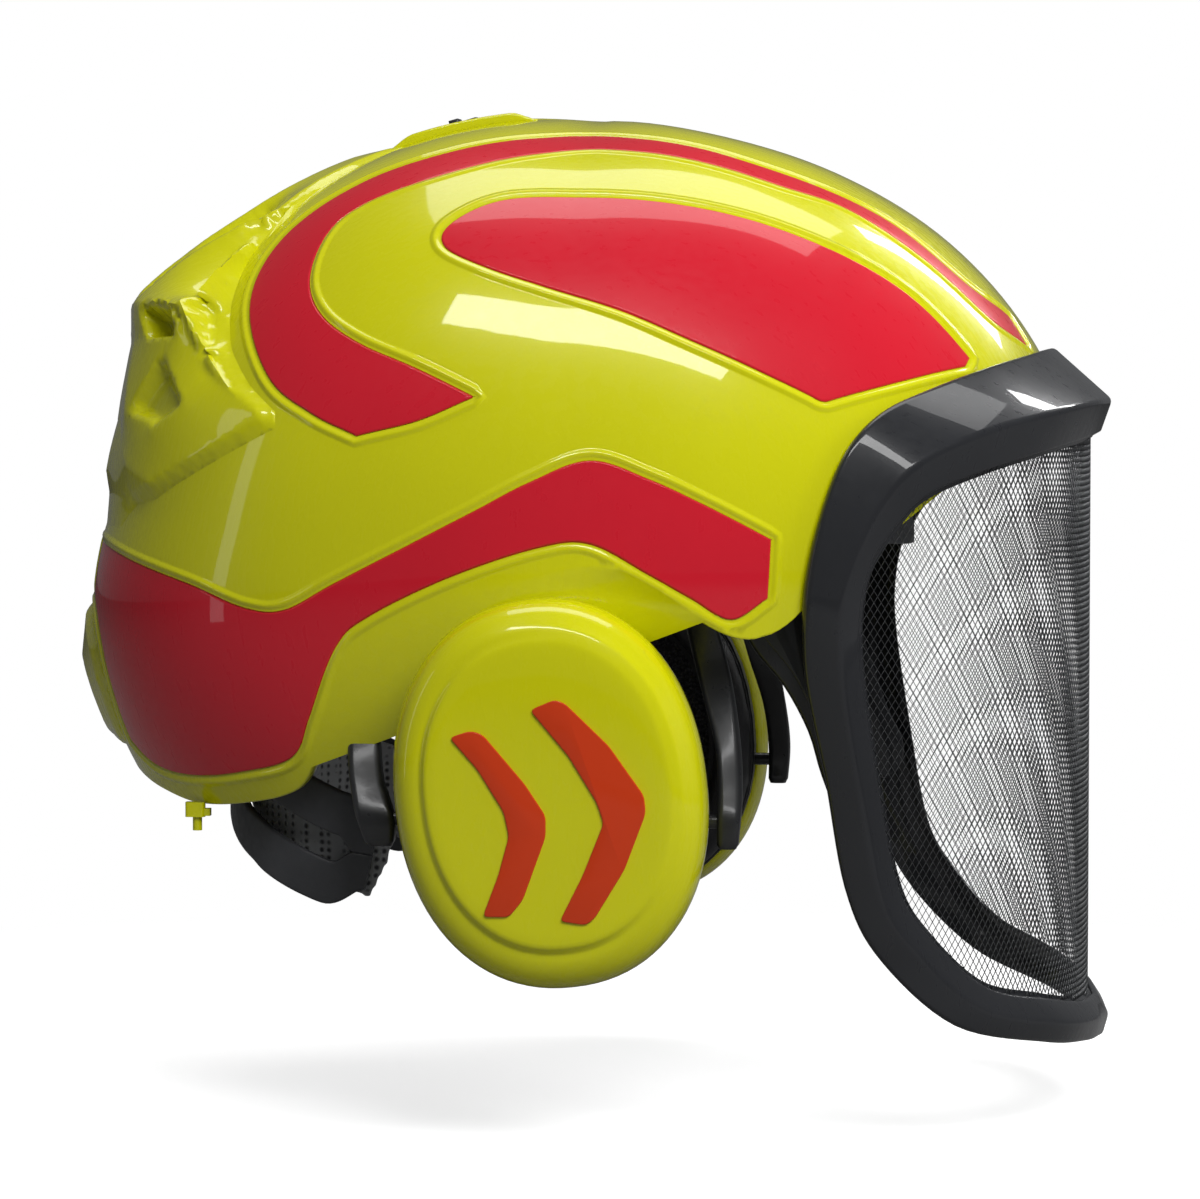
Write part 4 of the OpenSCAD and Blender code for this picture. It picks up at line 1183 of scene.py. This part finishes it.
def coordinates(obj):
    co = np.zeros(len(obj.data.vertices) * 3)
    obj.data.vertices.foreach_get("co", co)
    return co.reshape(-1, 3)


def puff(obj, cap, pressure):
    """Cloth simulation of a sealed skin under pressure; no point moves more than cap."""
    before = coordinates(obj)
    cloth = obj.modifiers.new("cloth", "CLOTH")
    cloth.settings.use_pressure = True
    cloth.settings.uniform_pressure_force = pressure
    cloth.settings.effector_weights.gravity = 0
    cloth.settings.mass = 0.15
    cloth.settings.tension_stiffness = cloth.settings.compression_stiffness = 25
    cloth.settings.bending_stiffness = 1.5
    cloth.point_cache.frame_start, cloth.point_cache.frame_end = 1, 20
    scene = bpy.context.scene
    for step in range(1, 21):
        scene.frame_set(step)
    graph = bpy.context.evaluated_depsgraph_get()
    after_mesh = obj.evaluated_get(graph).to_mesh()
    after = np.zeros(len(after_mesh.vertices) * 3)
    after_mesh.vertices.foreach_get("co", after)
    after = after.reshape(-1, 3)
    obj.evaluated_get(graph).to_mesh_clear()
    obj.modifiers.clear()
    scene.frame_set(1)
    move = after - before
    far = np.linalg.norm(move, axis=1, keepdims=True)
    move *= np.minimum(1, cap * MM / np.maximum(far, 1e-9))
    obj.data.vertices.foreach_set("co", (before + move).ravel())
    obj.data.update()


def make_cushion(side, sign):
    """Soft sealing ring: a smooth fat tube round the ear, with a seam line on its outer side."""
    steps = [(0.66, 0.71, 0.8), (0.635, 0.685, 4), (0.645, 0.695, 8.5), (0.69, 0.735, 12),
             (0.76, 0.79, 13.4), (0.83, 0.85, 13.2), (0.895, 0.9, 10.8), (0.925, 0.925, 7),
             (0.922, 0.922, 3.5), (0.89, 0.89, 0.8)]
    rings = np.array([ring_at(cup_oval(a, b, 72), RING_Y - y, sign) for a, b, y in steps])
    points = rings.transpose(1, 0, 2).reshape(-1, 3)
    faces = outward(points, tube_faces(72, len(steps), True))
    cushion = swollen(f"ear_cushion_{side}_ring", points, faces, 2.6, 1.0, 2.5, MATS["skin"])
    place(cushion, f"{side}_ear_cup", "cushion", f"ear_cushion_{side}")
    seam = []
    oval = cup_oval(0.917, 0.917, 120)
    for x, z in oval:
        out = unit(np.array([x - CUP_CENTRE[0], 0, z - CUP_CENTRE[1]]))
        centre = np.array([x, sign * (RING_Y - 6.2), z])
        seam.append([centre + 0.5 * (math.cos(a) * out + math.sin(a) * np.array([0, 1, 0]))
                     for a in np.radians(np.arange(6) * 60)])
    piping = sweep(f"ear_cushion_{side}_seam", seam, MATS["skin"], loop=True)
    place(piping, f"{side}_ear_cup", "cushion")


def make_ear_foam(side, sign):
    """Cut foam disc with a wavy, slightly sunken open-cell face towards the ear."""
    profile = [(0.0, 8.6), (0.3, 8.7), (0.5, 8.9), (0.6, 9.1), (0.64, 8.6), (0.655, 7.5), (0.66, 4.5),
               (0.655, 1.2), (0.63, 0.4), (0.3, 0.2), (0.0, 0.2)]
    rings = []
    for s, depth in profile:
        oval = cup_oval(max(s, 0.001), max(s, 0.001), 72)
        bump = 0.25 * np.sin(oval[:, 0] * 0.9) * np.sin(oval[:, 1] * 0.8) * (depth > 8)
        rings.append(np.stack([oval[:, 0], sign * (CUP_FACE_Y - 4.6 - depth + bump), oval[:, 1]], -1))
    foam = sweep(f"ear_foam_{side}_disc", rings, MATS["foam"], sharp=60)
    place(foam, f"{side}_ear_cup", "foam", f"ear_foam_{side}")


for side, sign in SIDES.items():
    make_cup(side, sign)
    make_chevrons(side, sign)
    make_cushion(side, sign)
    make_ear_foam(side, sign)


# ---------------------------------------------------------------- suspension and neck cradle

BAND_L, BAND_W, BAND_T, BAND_X = 97, 77.5, 1.8, -2
BAND_LOW, BAND_H, STRAP_FOOT = 18, 26, 36


def oval_path(half_l, half_w, turns, centre_x, z):
    t = np.radians(turns)
    return np.stack([centre_x + half_l * np.cos(t), half_w * np.sin(t), np.full(len(t), z)], -1)


def band_piece(name, turns, low, high, half_l, half_w, thickness, centre_x, mat, radius=0.7, wave=None):
    """Upright band that follows an oval, with rounded edges and an optional wavy lower edge."""
    inner = oval_path(half_l, half_w, turns, centre_x, 0)
    outer = oval_path(half_l + thickness, half_w + thickness, turns, centre_x, 0)
    rings = []
    for k, (a, b) in enumerate(zip(inner, outer)):
        rise = 0 if wave is None else wave[k]
        up = np.array([0, 0, 1.0])
        corners = [a + up * (low + rise), b + up * (low + rise), b + up * high, a + up * high]
        rings.append(rounded(corners, radius, 3))
    return sweep(name, rings, mat, sharp=60)


def make_headband():
    turns = np.linspace(-112, 112, 110)
    wave = 3.0 * (1 - np.cos(np.radians(turns * 3.2))) / 2 * smooth((112 - np.abs(turns)) / 10)
    band = band_piece("headband_strip", turns, BAND_LOW, BAND_LOW + BAND_H, BAND_L, BAND_W, BAND_T, BAND_X,
                      MATS["grey"], wave=wave)
    place(band, "shell", "black_plastic", "headband")
    for k, turn in enumerate(range(-84, 85, 12)):
        here = np.array([turn - 2.6, turn, turn + 2.6])
        rib = band_piece(f"headband_rib_{k}", here, BAND_LOW + 7, BAND_LOW + BAND_H - 2.5,
                         BAND_L + BAND_T - 0.3, BAND_W + BAND_T - 0.3, 0.8, BAND_X, MATS["grey"], 0.3)
        place(rib, "shell", "black_plastic")


def make_sweatband():
    """Brow pad: padded strip with quilted channels, sewn round its edge."""
    turns = np.linspace(-62, 62, 90)
    half_l, half_w, thickness = BAND_L - 3.6, BAND_W - 3.6, 3.0
    rings = []
    for turn in turns:
        a = oval_path(half_l, half_w, np.array([turn]), BAND_X, 0)[0]
        b = oval_path(half_l + thickness, half_w + thickness, np.array([turn]), BAND_X, 0)[0]
        quilt = 0.55 + 0.45 * abs(math.cos(math.radians(turn * 7.2))) ** 0.5
        end = float(smooth((62 - abs(turn)) / 3) * 0.6 + 0.4)
        low, high = BAND_LOW + 1.2, STRAP_FOOT - 0.7
        middle = (low + high) / 2
        ring = []
        for k in range(16):
            s = math.radians(360 * k / 16)
            z = middle + (high - low) / 2 * math.copysign(abs(math.sin(s)) ** 0.55, math.sin(s)) * end
            depth = 0.5 - 0.5 * math.copysign(abs(math.cos(s)) ** 0.7, math.cos(s)) * quilt
            ring.append(a + (b - a) * (1 - depth) + np.array([0, 0, z]))
        rings.append(ring)
    pad = sweep("sweatband_pad", rings, MATS["fabric"])
    place(pad, "shell", "pad_fabric", "sweatband")


def strap_arch(rise, along_x):
    t = np.radians(np.arange(9) * 22.5)
    if along_x:
        return np.stack([BAND_X + (BAND_L - 1.5) * np.cos(t), 0 * t, STRAP_FOOT + rise * np.sin(t)], -1)
    return np.stack([BAND_X + 0 * t, (BAND_W - 1.5) * np.cos(t), STRAP_FOOT + rise * np.sin(t)], -1)


def make_crown_straps():
    """Two tapes of woven webbing crossing over the crown, each with a stitched end."""
    for name, along_x, rise, across in (("long", True, 69, (0, 1, 0)), ("cross", False, 66, (1, 0, 0))):
        ring, centre = strap_sections(strap_arch(rise, along_x), 17.6, 1.3, across, 90, 0.5)
        tape = sweep(f"crown_strap_{name}", ring, MATS["webbing"], sharp=60, uv=along_lengths(ring, centre))
        place(tape, "shell", "webbing", *(["crown_straps"] if along_x else []))
        make_stitches(f"crown_strap_{name}_stitches", centre, across, 6.4, 0.66, "shell", "webbing")


def make_stitches(name, centre, across, offset, height, body, slot):
    """Two rows of thread stitches standing a little proud of a strap's outer face."""
    ahead = unit(np.gradient(centre, axis=0))
    across = np.asarray(across, float)
    wide = unit(across - ahead * (ahead @ across)[:, None])
    thick = np.cross(ahead, wide)
    points, faces, first = [], [], 0
    for side in (-1, 1):
        for k in range(2, len(centre) - 2):
            a = centre[k] + wide[k] * offset * side
            outward_face = thick[k] * (1 if thick[k] @ (centre[k] - centre.mean(0)) > 0 else -1)
            half = ahead[k] * 0.75
            foot, back = outward_face * (height - 0.2), outward_face * (height + 0.1)
            rings = [a - half + foot, a - half * 0.5 + back, a + half * 0.5 + back, a + half + foot]
            wire = prism(np.array(rings), 0.2, wide[k] + 0.01)
            points.append(wire)
            faces += [[i + first for i in f] for f in tube_faces(4, 3, False)]
            first += len(wire)
    thread = mesh_object(name, np.concatenate(points), faces, MATS["fabric"])
    place(thread, body, slot)


def make_crown_pad():
    """Round crown pad, blown up between the stitched cross and its rim."""
    rings = []
    base_z = STRAP_FOOT + 57
    profile = [(0.02, 3.4), (8, 3.1), (14, 2.7), (19, 1.9), (23, 0.9), (25, 0.7), (25.8, 1.3),
               (25, 2.4), (22, 3.9), (17, 4.9), (12, 5.4), (6, 5.8), (0.02, 6.0)]
    count = 64
    t = np.radians(np.arange(count) * 360 / count)
    for r, z in profile:
        rings.append(np.stack([BAND_X + r * np.cos(t), r * np.sin(t), np.full(count, base_z + z)], -1))
    points = np.array(rings).reshape(-1, 3)
    faces = outward(points, tube_faces(len(profile), count, False))
    pad = swollen("crown_pad_disc", points, faces, 1.6, 0.7, 2.0, MATS["fabric"])
    co = coordinates(pad) / MM
    x, y = co[:, 0] - BAND_X, co[:, 1]
    groove = np.exp(-(x / 1.2) ** 2) + np.exp(-(y / 1.2) ** 2)
    rim_line = np.exp(-((np.hypot(x, y) - 21.5) / 0.9) ** 2)
    side = np.where(co[:, 2] > base_z + 3, -1, 1)
    co[:, 2] += side * 0.55 * np.clip(groove + rim_line, 0, 1) * (np.hypot(x, y) < 24)
    pad.data.vertices.foreach_set("co", (co * MM).ravel())
    pad.data.update()
    place(pad, "shell", "pad_fabric", "crown_pad")


CRADLE_PATH = [[-60, -75, -72], [-74, -74, -69], [-92, -66, -60], [-106, -44, -50], [-112, 0, -45]]
CRADLE_W, CRADLE_T = 34, 3


def whole_path(path):
    p = np.array(path, float)
    return np.concatenate([p, p[:-1][::-1] * [1, -1, 1]])


def upright_frame(centre):
    """Directions across the width and through the thickness of an upright strip."""
    ahead = unit(np.gradient(centre, axis=0))
    wide = unit(np.array([0, 0, 1.0]) - ahead * ahead[:, 2:])
    return wide, unit(np.cross(ahead, wide))


def make_neck_cradle():
    """Springy nape cradle: an upper and a lower rail with a slot between them on each side."""
    path = whole_path(CRADLE_PATH)
    count = 120
    s = np.linspace(0, 1, count + 1)
    away = np.minimum(s, 1 - s)
    profile = 0.62 + 0.38 * smooth(away / 0.1)
    slot = smooth((away - 0.05) / 0.05) * smooth((0.36 - away) / 0.06)
    for name in ("upper", "lower"):
        centre = through(path, count)
        wide, thick = upright_frame(centre)
        rings = []
        for i in range(count + 1):
            w = CRADLE_W * profile[i]
            inner_edge = (0.12 * slot[i] - 0.005) * w
            outer_edge = 0.5 * w
            a, b = (inner_edge, outer_edge) if name == "upper" else (-outer_edge, -inner_edge)
            crown = 0.5
            corners = [(a, -CRADLE_T / 2), (b, -CRADLE_T / 2), (b, CRADLE_T / 2), (a, CRADLE_T / 2)]
            flat = rounded([(p, q, 0) for p, q in corners], 1.3, 4)
            flat[:, 1] *= 0.8 + 0.2 * np.cos((flat[:, 0] - (a + b) / 2) / (b - a) * math.pi) * crown
            rings.append(centre[i] + flat[:, :1] * wide[i] + flat[:, 1:2] * thick[i])
        rail = sweep(f"neck_cradle_{name}_rail", rings, MATS["grey"], sharp=60)
        place(rail, "neck_cradle", "black_plastic", *(["neck_cradle"] if name == "upper" else []))


def make_neck_pads():
    """Two breathable pads on the inner side of the cradle, thick in the middle, sewn at the edge."""
    for side, sign in SIDES.items():
        path = np.array([[x * 0.985 + 4.5, sign * (abs(y) * 0.93 + (6 if y == 0 else 0)), z]
                         for x, y, z in CRADLE_PATH])
        centre = through(path, 60)
        wide, thick = upright_frame(centre)
        rings = []
        for i in range(61):
            s = i / 60
            end = float(smooth(min(s, 1 - s) / 0.09)) * 0.75 + 0.25
            lobes = 0.75 + 0.25 * abs(math.sin(s * math.pi * 4)) ** 0.6
            ring = []
            for k in range(20):
                a = math.radians(360 * k / 20)
                w = 14.4 * end * math.copysign(abs(math.cos(a)) ** 0.6, math.cos(a))
                t = 1.85 * lobes * math.copysign(abs(math.sin(a)) ** 0.75, math.sin(a)) * (0.5 + 0.5 * end)
                ring.append(centre[i] + wide[i] * w + thick[i] * t)
            rings.append(ring)
        points = np.array(rings).reshape(-1, 3)
        faces = outward(points, tube_faces(61, 20, False))
        pad = swollen(f"neck_pad_{side}", points, faces, 1.7, 0.8, 2.0, MATS["fabric"])
        place(pad, "neck_cradle", "pad_fabric", *(["neck_pads"] if side == "right" else []))


make_headband()
make_sweatband()
make_crown_straps()
make_crown_pad()
make_neck_cradle()
make_neck_pads()


# ---------------------------------------------------------------- rear vent, tail guard and crown

# Lines of the rear vent's left half: [degrees from the rear centre line, elevation, height].
VENT_BORDER = [(0, 67, 0), (12, 66.5, 0), (17.5, 60.5, 0), (20.8, 54.3, 0), (22.8, 48, 0), (25.5, 42.2, 0),
               (29.5, 37, 0), (34.5, 32, 0), (40.5, 28.2, 0), (46, 25.6, 0), (46.6, 23.6, 0), (37, 18, 0),
               (28, 13, 0), (23.5, 12, 0), (19.5, 9, 0), (0, 9, 0)]
VENT_LINES = [
    [(0, 65, 1.4), (11.3, 65, 1.2), (16.2, 59.6, 1.7), (19.3, 53.5, 2.4), (21, 47.6, 2.8),
     (23.5, 41.5, 3), (27.4, 36, 3), (32.2, 31, 2.8), (38.2, 27.4, 2.5), (43.6, 25.3, 2),
     (44.4, 24.3, 1.8), (36.5, 19.4, 2.6), (28, 14.6, 3.6)],
    [(0, 63, 2.6), (8.5, 61, 3), (11, 55, 4.2), (10.5, 47, 6.5), (9.5, 40, 10.5), (9, 34, 15.2),
     (9, 32.6, 15.4), (9.3, 28.8, 9.8), (13, 24, 7), (16, 20.6, 5.4), (11.5, 16.8, 4.8),
     (10, 14.8, 4.2), (10, 12.6, 1.6)],
    [(0, 34, 14.8), (9, 34, 15.2)],
    [(0, 28.8, 9.4), (9.3, 28.8, 9.8)],
    [(0, 20.6, 4.4), (16, 20.6, 5.4)],
    [(22.5, 51, 2.8), (20, 45.4, 7), (17.3, 39, 12), (14.5, 33, 16.2)],
    [(24.2, 44.8, 3.2), (26.2, 39.4, 8.6), (28, 34.2, 13.6)],
    [(14.5, 33, 16.2), (18, 33.1, 15.6), (25.4, 34, 14.2), (28, 34.2, 13.6)],
    [(9, 32.6, 15.4), (14.5, 33, 16.2)],
    [(14.2, 50.5, 1.4), (14, 42.6, 2.2), (12.8, 41.6, 2.2), (12.4, 49.5, 1.4), (14.2, 50.5, 1.4)],
    [(12.6, 39.2, 8.6), (15.6, 39.6, 9), (16, 41, 8.6), (12, 40.6, 8.4), (12.6, 39.2, 8.6)],
    [(12.4, 38, 3.4), (14.6, 38.2, 3.6), (13.4, 34.4, 8), (12, 34.2, 8), (12.4, 38, 3.4)],
    [(18, 33.1, 15.6), (20.8, 30.2, 11), (27.4, 31.3, 9.6), (25.4, 34, 14.2)],
    [(19, 32.5, 4.5), (21.2, 30.8, 4), (26.2, 31.5, 4), (24.8, 33.4, 4.5), (19, 32.5, 4.5)],
    [(14.5, 33, 16.2), (16.4, 29.6, 11.2), (20.8, 30.2, 11)],
    [(16.4, 29.6, 11.2), (9.3, 28.8, 9.8)],
    [(16.4, 29.6, 11.2), (19.6, 21.6, 7.6), (16, 20.6, 5.4)],
    [(27.4, 31.3, 9.6), (25.6, 29.2, 8.6), (32, 24.2, 5.4), (27, 20.6, 5.8), (26, 21.8, 5.6),
     (19.6, 21.6, 7.6)],
    [(25.6, 29.2, 8.6), (20.8, 22.4, 7.2)],
    [(25, 27.4, 3.4), (30.2, 24.3, 2.6), (26.8, 22.2, 2.8), (22.2, 23, 3.4), (25, 27.4, 3.4)],
    [(28, 34.2, 13.6), (27.4, 31.3, 9.6)],
    [(26.8, 33.8, 11.6), (30.2, 31, 6.6), (34, 28.4, 3.6), (40, 26.2, 2.4)],
    [(28.6, 34.2, 11.8), (32, 31.2, 7.4), (35.6, 28.8, 4), (40, 26.2, 2.4)],
    [(28, 14.6, 3.6), (21.5, 16.2, 4.6), (16, 20.6, 5.4)],
    [(28, 14.6, 3.6), (22.6, 12.8, 1.6), (10, 12.6, 1.6), (0, 12.6, 1.6)],
    [(0, 14.8, 4.2), (10, 14.8, 4.2)],
]
VENT_ACROSS = 0.8     # the chart of the vent is narrower than the angle, as on the shell itself


def draped(lines, border, across, spacing):
    """Closed curves and lines of [across, up, height] with a smooth skin stretched between them."""
    points, edges, given, lookup = [], [], [], {}

    def add(p, height):
        key = (round(p[0] * across, 2), round(p[1], 2))
        if key not in lookup:
            lookup[key] = len(points)
            points.append(key)
            given.append(height)
        return lookup[key]

    for line in [border] + lines:
        row = []
        for a, b in zip(line, line[1:]):
            a, b = np.array(a, float), np.array(b, float)
            steps = max(1, int(math.hypot((b[0] - a[0]) * across, b[1] - a[1]) / spacing))
            row += [add(a + (b - a) * k / steps, (a + (b - a) * k / steps)[2]) for k in range(steps)]
        row.append(add(line[-1], line[-1][2]))
        edges.extend((a, b) for a, b in zip(row, row[1:]) if a != b)
    on_seam = [q[1] for q in points if q[0] == 0]
    for v in np.arange(min(on_seam), max(on_seam), spacing):
        if min(abs(v - w) for w in on_seam) > spacing * 0.6:
            add((0, v), None)
    seam = sorted((k for k, q in enumerate(points) if q[0] == 0), key=lambda k: points[k][1])
    edges.extend(zip(seam, seam[1:]))
    fixed = np.array(points)
    loop = np.array([[p[0] * across, p[1]] for p in border])
    free = grid_points(70, spacing)
    free = free[free[:, 0] > spacing * 0.6]
    for q in free[inside(loop, free)]:
        if np.abs(fixed - q).max(axis=1).min() > spacing * 0.5:
            points.append(tuple(q))
    flat, faces = triangulate(points, edges)
    gaps = [np.abs(fixed - q).max(axis=1) for q in flat]
    nearest_one = np.array([int(g.argmin()) for g in gaps])
    held = np.array([g.min() < 0.02 and given[k] is not None for g, k in zip(gaps, nearest_one)])
    heights = np.array([float(given[k] or 0) for k in nearest_one])
    pairs = np.array(sorted({(min(a, b), max(a, b)) for f in faces for a, b in zip(f, f[1:] + f[:1])}))
    near = np.bincount(pairs.ravel(), minlength=len(flat))

    def average(h):
        total = np.bincount(pairs[:, 0], h[pairs[:, 1]], len(flat))
        return (total + np.bincount(pairs[:, 1], h[pairs[:, 0]], len(flat))) / near

    for _ in range(600):
        heights = np.where(held, heights, average(heights))
    low_edge = heights <= 0.05
    heights = np.where(low_edge, heights, 0.5 * heights + 0.5 * average(heights))
    return flat, faces, heights


def solid_patch(name, flat, heights, faces, unwrap, floor, mat, body, slot, nodes_named, angle=50):
    """Closed piece on the shell, the same on both sides of the middle plane, from a skin over its half."""
    v = unwrap(flat)
    base = base_normals(v)
    surface = on_shell(v)
    top = surface + base * np.asarray(heights)[:, None]
    low = surface + base * floor
    n = len(flat)
    f = faces[0]
    if np.dot(np.cross(top[f[1]] - top[f[0]], top[f[2]] - top[f[0]]), base[f[0]]) < 0:
        faces = flipped(faces)
    edges = set()
    for f in faces:
        edges.update(zip(f, f[1:] + f[:1]))
    border = sorted((a, b) for a, b in edges if (b, a) not in edges
                    and not (abs(top[a, 1]) < 0.02 and abs(top[b, 1]) < 0.02))
    points = np.concatenate([top, low])
    solid = [list(f) for f in faces] + [[a + n for a in f[::-1]] for f in faces]
    solid += [[b, a, a + n, b + n] for a, b in border]
    seam = np.abs(points[:, 1]) < 0.02
    points[seam, 1] = 0
    twin = np.where(seam, np.arange(2 * n), -1)
    twin[~seam] = 2 * n + np.arange((~seam).sum())
    points = np.concatenate([points, mirrored(points[~seam])])
    solid = solid + flipped([[int(twin[a]) for a in f] for f in solid])
    obj = mesh_object(name, points, solid, mat, sharp=angle)
    place(obj, body, slot, *nodes_named)
    return obj


def round_off(obj, width, angle=30, cuts=2):
    """Weld and bevel: rounds the edges of a hard piece without touching its mesh."""
    weld = obj.modifiers.new("weld", "WELD")
    weld.merge_threshold = 0.01 * MM
    bevel = obj.modifiers.new("bevel", "BEVEL")
    bevel.width = width * MM
    bevel.segments = cuts
    bevel.limit_method = "ANGLE"
    bevel.angle_limit = math.radians(angle)
    bevel.harden_normals = False
    bevel.use_clamp_overlap = True
    smooth_by = obj.modifiers.new("weighted", "WEIGHTED_NORMAL")
    smooth_by.keep_sharp = False


def make_rear_vent():
    """Rear vent module: spine, two pale ridges, recesses and openings in one moulding."""
    flat, faces, heights = draped(VENT_LINES, VENT_BORDER, VENT_ACROSS, 0.45)

    def unwrap(q):
        return direction(180 - q[:, 0] / VENT_ACROSS, q[:, 1])

    solid_patch("rear_vent_module", flat, heights, faces, unwrap, -0.5, MATS["lime"], "shell", "lime_shell",
                ["rear_vent_cover"])


TAIL_LINES = [
    [(0, 0.5, 0), (6, 0, 0), (12.5, -4.5, 0), (14.2, -9, 0), (13.5, -16.5, 0), (6, -17, 0), (0, -17, 0)],
    [(0, -1, 3.2), (5, -1.4, 3), (10.5, -5.4, 2.2), (12.2, -9, 2), (11.8, -15.6, 1.4), (6, -16.2, 2),
     (0, -16.2, 2.4)],
    [(0, -5.5, 6.2), (4.6, -6, 5.6), (7.5, -8.5, 4.6), (8, -13, 3.8), (4.5, -14.6, 4.4), (0, -14.8, 4.8)],
    [(0, -8, 3.4), (3.4, -8.4, 3.2), (5.4, -9.6, 2.8), (5.4, -12, 2.6), (3.2, -12.8, 3), (0, -12.9, 3.2)],
]


def make_tail_guard():
    """Small finned guard at the nape end of the shell with a sunk middle."""
    flat, faces, heights = draped(TAIL_LINES[1:], TAIL_LINES[0], 1, 0.5)

    def unwrap(q):
        return direction(180 - q[:, 0], q[:, 1])

    solid_patch("tail_guard_fin", flat, heights, faces, unwrap, -0.3, MATS["lime"], "shell", "lime_shell",
                ["tail_guard"])


def make_rails():
    """Rails of the crown vent: low rounded ribs that run out into the shell."""
    for side, sign in SIDES.items():
        turns = np.linspace(64.5, 83, 30)
        rings = []
        for e in turns:
            fade = float(smooth((e - 64.5) / 4) * smooth((83 - e) / 3))
            p = on_shell(direction(180.0, np.array(e)))
            n = unit(p)
            y = np.array([0, 1.0, 0])
            h = 0.4 + 2.6 * fade
            corners = [(8.4, -0.3), (11.2, -0.3), (11.0, h), (8.7, h)]
            rings.append(rounded([p + y * sign * a + n * b for a, b in corners], 0.8, 3))
        rail = sweep(f"vent_rail_{side}", rings, MATS["lime"], sharp=60)
        place(rail, "shell", "lime_shell", *(["vent_rails"] if side == "right" else []))


make_rear_vent()
make_tail_guard()
make_rails()


# ---------------------------------------------------------------- ear muff arms

PIN_Y, PIN_Z = 97, 22
REAR_LEG = {"back": [(-66, -57), (-54, -61), (-40, -64), (-20, -64.5), (-4, -63), (12, -58.7), (24, -58.7)],
            "front": [(-66, -49), (-58, -48.6), (-46, -53), (-30, -55), (-12, -54.5), (2, -52), (24, -52)]}
FRONT_LEG = {"back": [(-66, 44.8), (-50, 44.8), (-38, 43.5), (-22, 39), (-6, 35), (8, 33), (24, 33)],
             "front": [(-66, 51), (-52, 52), (-38, 51), (-20, 48), (-4, 44), (8, 40), (24, 40)]}
LEG_OUTER = [(-66, 108), (-57, 108), (-50, 104), (-38, 96), (-24, 90), (-12, 88), (-2, 90.5), (8, 97),
             (16, 101), (24, 101)]
LEG_INNER = [(-66, 101.4), (-58, 101.4), (-50.5, 98.5), (-39, 91.5), (-25, 86), (-12, 84.4), (-2.5, 86.5),
             (6, 92.5), (14, 94), (24, 94)]


def make_yoke(side, sign):
    levels = np.linspace(-65.8, 23.8, 64)
    for name, leg in (("rear", REAR_LEG), ("front", FRONT_LEG)):
        rings = []
        for z in levels:
            end = min(z + 65.8, 23.8 - z)
            shrink = 0.6 * max(0, 1 - end / 1.5) ** 2
            x0, x1 = float(curve(leg["back"], z)) + shrink, float(curve(leg["front"], z)) - shrink
            y0, y1 = float(curve(LEG_INNER, z)) + shrink, float(curve(LEG_OUTER, z)) - shrink
            corners = [(x0, sign * y0, z), (x1, sign * y0, z), (x1, sign * y1, z), (x0, sign * y1, z)]
            rings.append(rounded(corners, 2.1, 4))
        arm = sweep(f"ear_yoke_{side}_{name}_leg", rings, MATS["satin"], sharp=60)
        place(arm, f"{side}_ear_yoke", "black_plastic", *([f"ear_yoke_{side}"] if name == "rear" else []))
        ends = (-58.7, -52) if name == "rear" else (33, 40)
        hub = turned_x(f"ear_yoke_{side}_{name}_hub", ends, (sign * PIN_Y, PIN_Z), 4.4, 1.0,
                       MATS["satin"], bore=1.6)
        place(hub, f"{side}_ear_yoke", "black_plastic")


def turned_x(name, ends, at, radius, rounding, mat, bore=0.0, count=40):
    """Turned piece along X with rounded rims, and a bore if one is given."""
    a, b = ends
    steps = [math.pi / 2 * k / 4 for k in range(5)]
    outer = [(a + rounding * (1 - math.sin(t)), radius - rounding * (1 - math.cos(t))) for t in steps[::-1]]
    outer += [(b - rounding * (1 - math.sin(t)), radius - rounding * (1 - math.cos(t))) for t in steps]
    if outer[0][0] > outer[4][0]:
        outer = outer[:5][::-1] + outer[5:]
    profile = outer + [(b, bore or 0.01), (a, bore or 0.01)]
    rings = []
    for k in range(count):
        t = 2 * math.pi * k / count
        rings.append([(x, at[0] + r * math.cos(t), at[1] + r * math.sin(t)) for x, r in profile])
    return sweep(name, rings, mat, loop=True, sharp=40)


def make_peg_boss(side, sign):
    """Rounded boss that joins the cape peg to the shell's lip."""
    corners = [(-117.4, 64.6), (-111.6, 64.6), (-111.6, 68.4), (-117.4, 68.4)]
    rings = [rounded([(x, sign * y, z) for x, y in corners], 1.2, 4) for z in (-61.9, -60.5, -57.5)]
    place(sweep(f"cape_peg_{side}_boss", rings, MATS["lime"], sharp=50), "shell", "lime_shell")


for side, sign in SIDES.items():
    make_yoke(side, sign)
    make_peg_boss(side, sign)


# ---------------------------------------------------------------- CAD pieces that keep their shape

CAD_LOOKS = {
    "inner_liner": ("liner", 0.8), "vent_slider": ("black", 0.5), "cape_pegs": ("lime", 0.3),
    "strap_clips": ("black", 0.8), "rear_band": ("grey", 0.5), "cradle_struts": ("grey", 0.6),
    "adjuster_housing": ("satin", 1.2), "adjuster_knob": ("satin", 0.6), "visor_pins": ("steel", 0.3),
    "guide_screws": ("steel", 0.2),
}
PAIRED_LOOKS = {
    "visor_mount": ("black", 0.6), "ear_guide": ("black", 0.5), "ear_slider": ("black", 0.5),
    "yoke_pins": ("steel", 0.2), "cup_pins": ("satin", 0.2), "cup_back": ("black", 0.5),
}
CAD_LOOKS.update({f"{part}_{side}": look for part, look in PAIRED_LOOKS.items() for side in SIDES})
for node, (look, width) in CAD_LOOKS.items():
    obj = nodes[node]
    obj.data.materials.clear()
    obj.data.materials.append(MATS[look])
    round_off(obj, width)
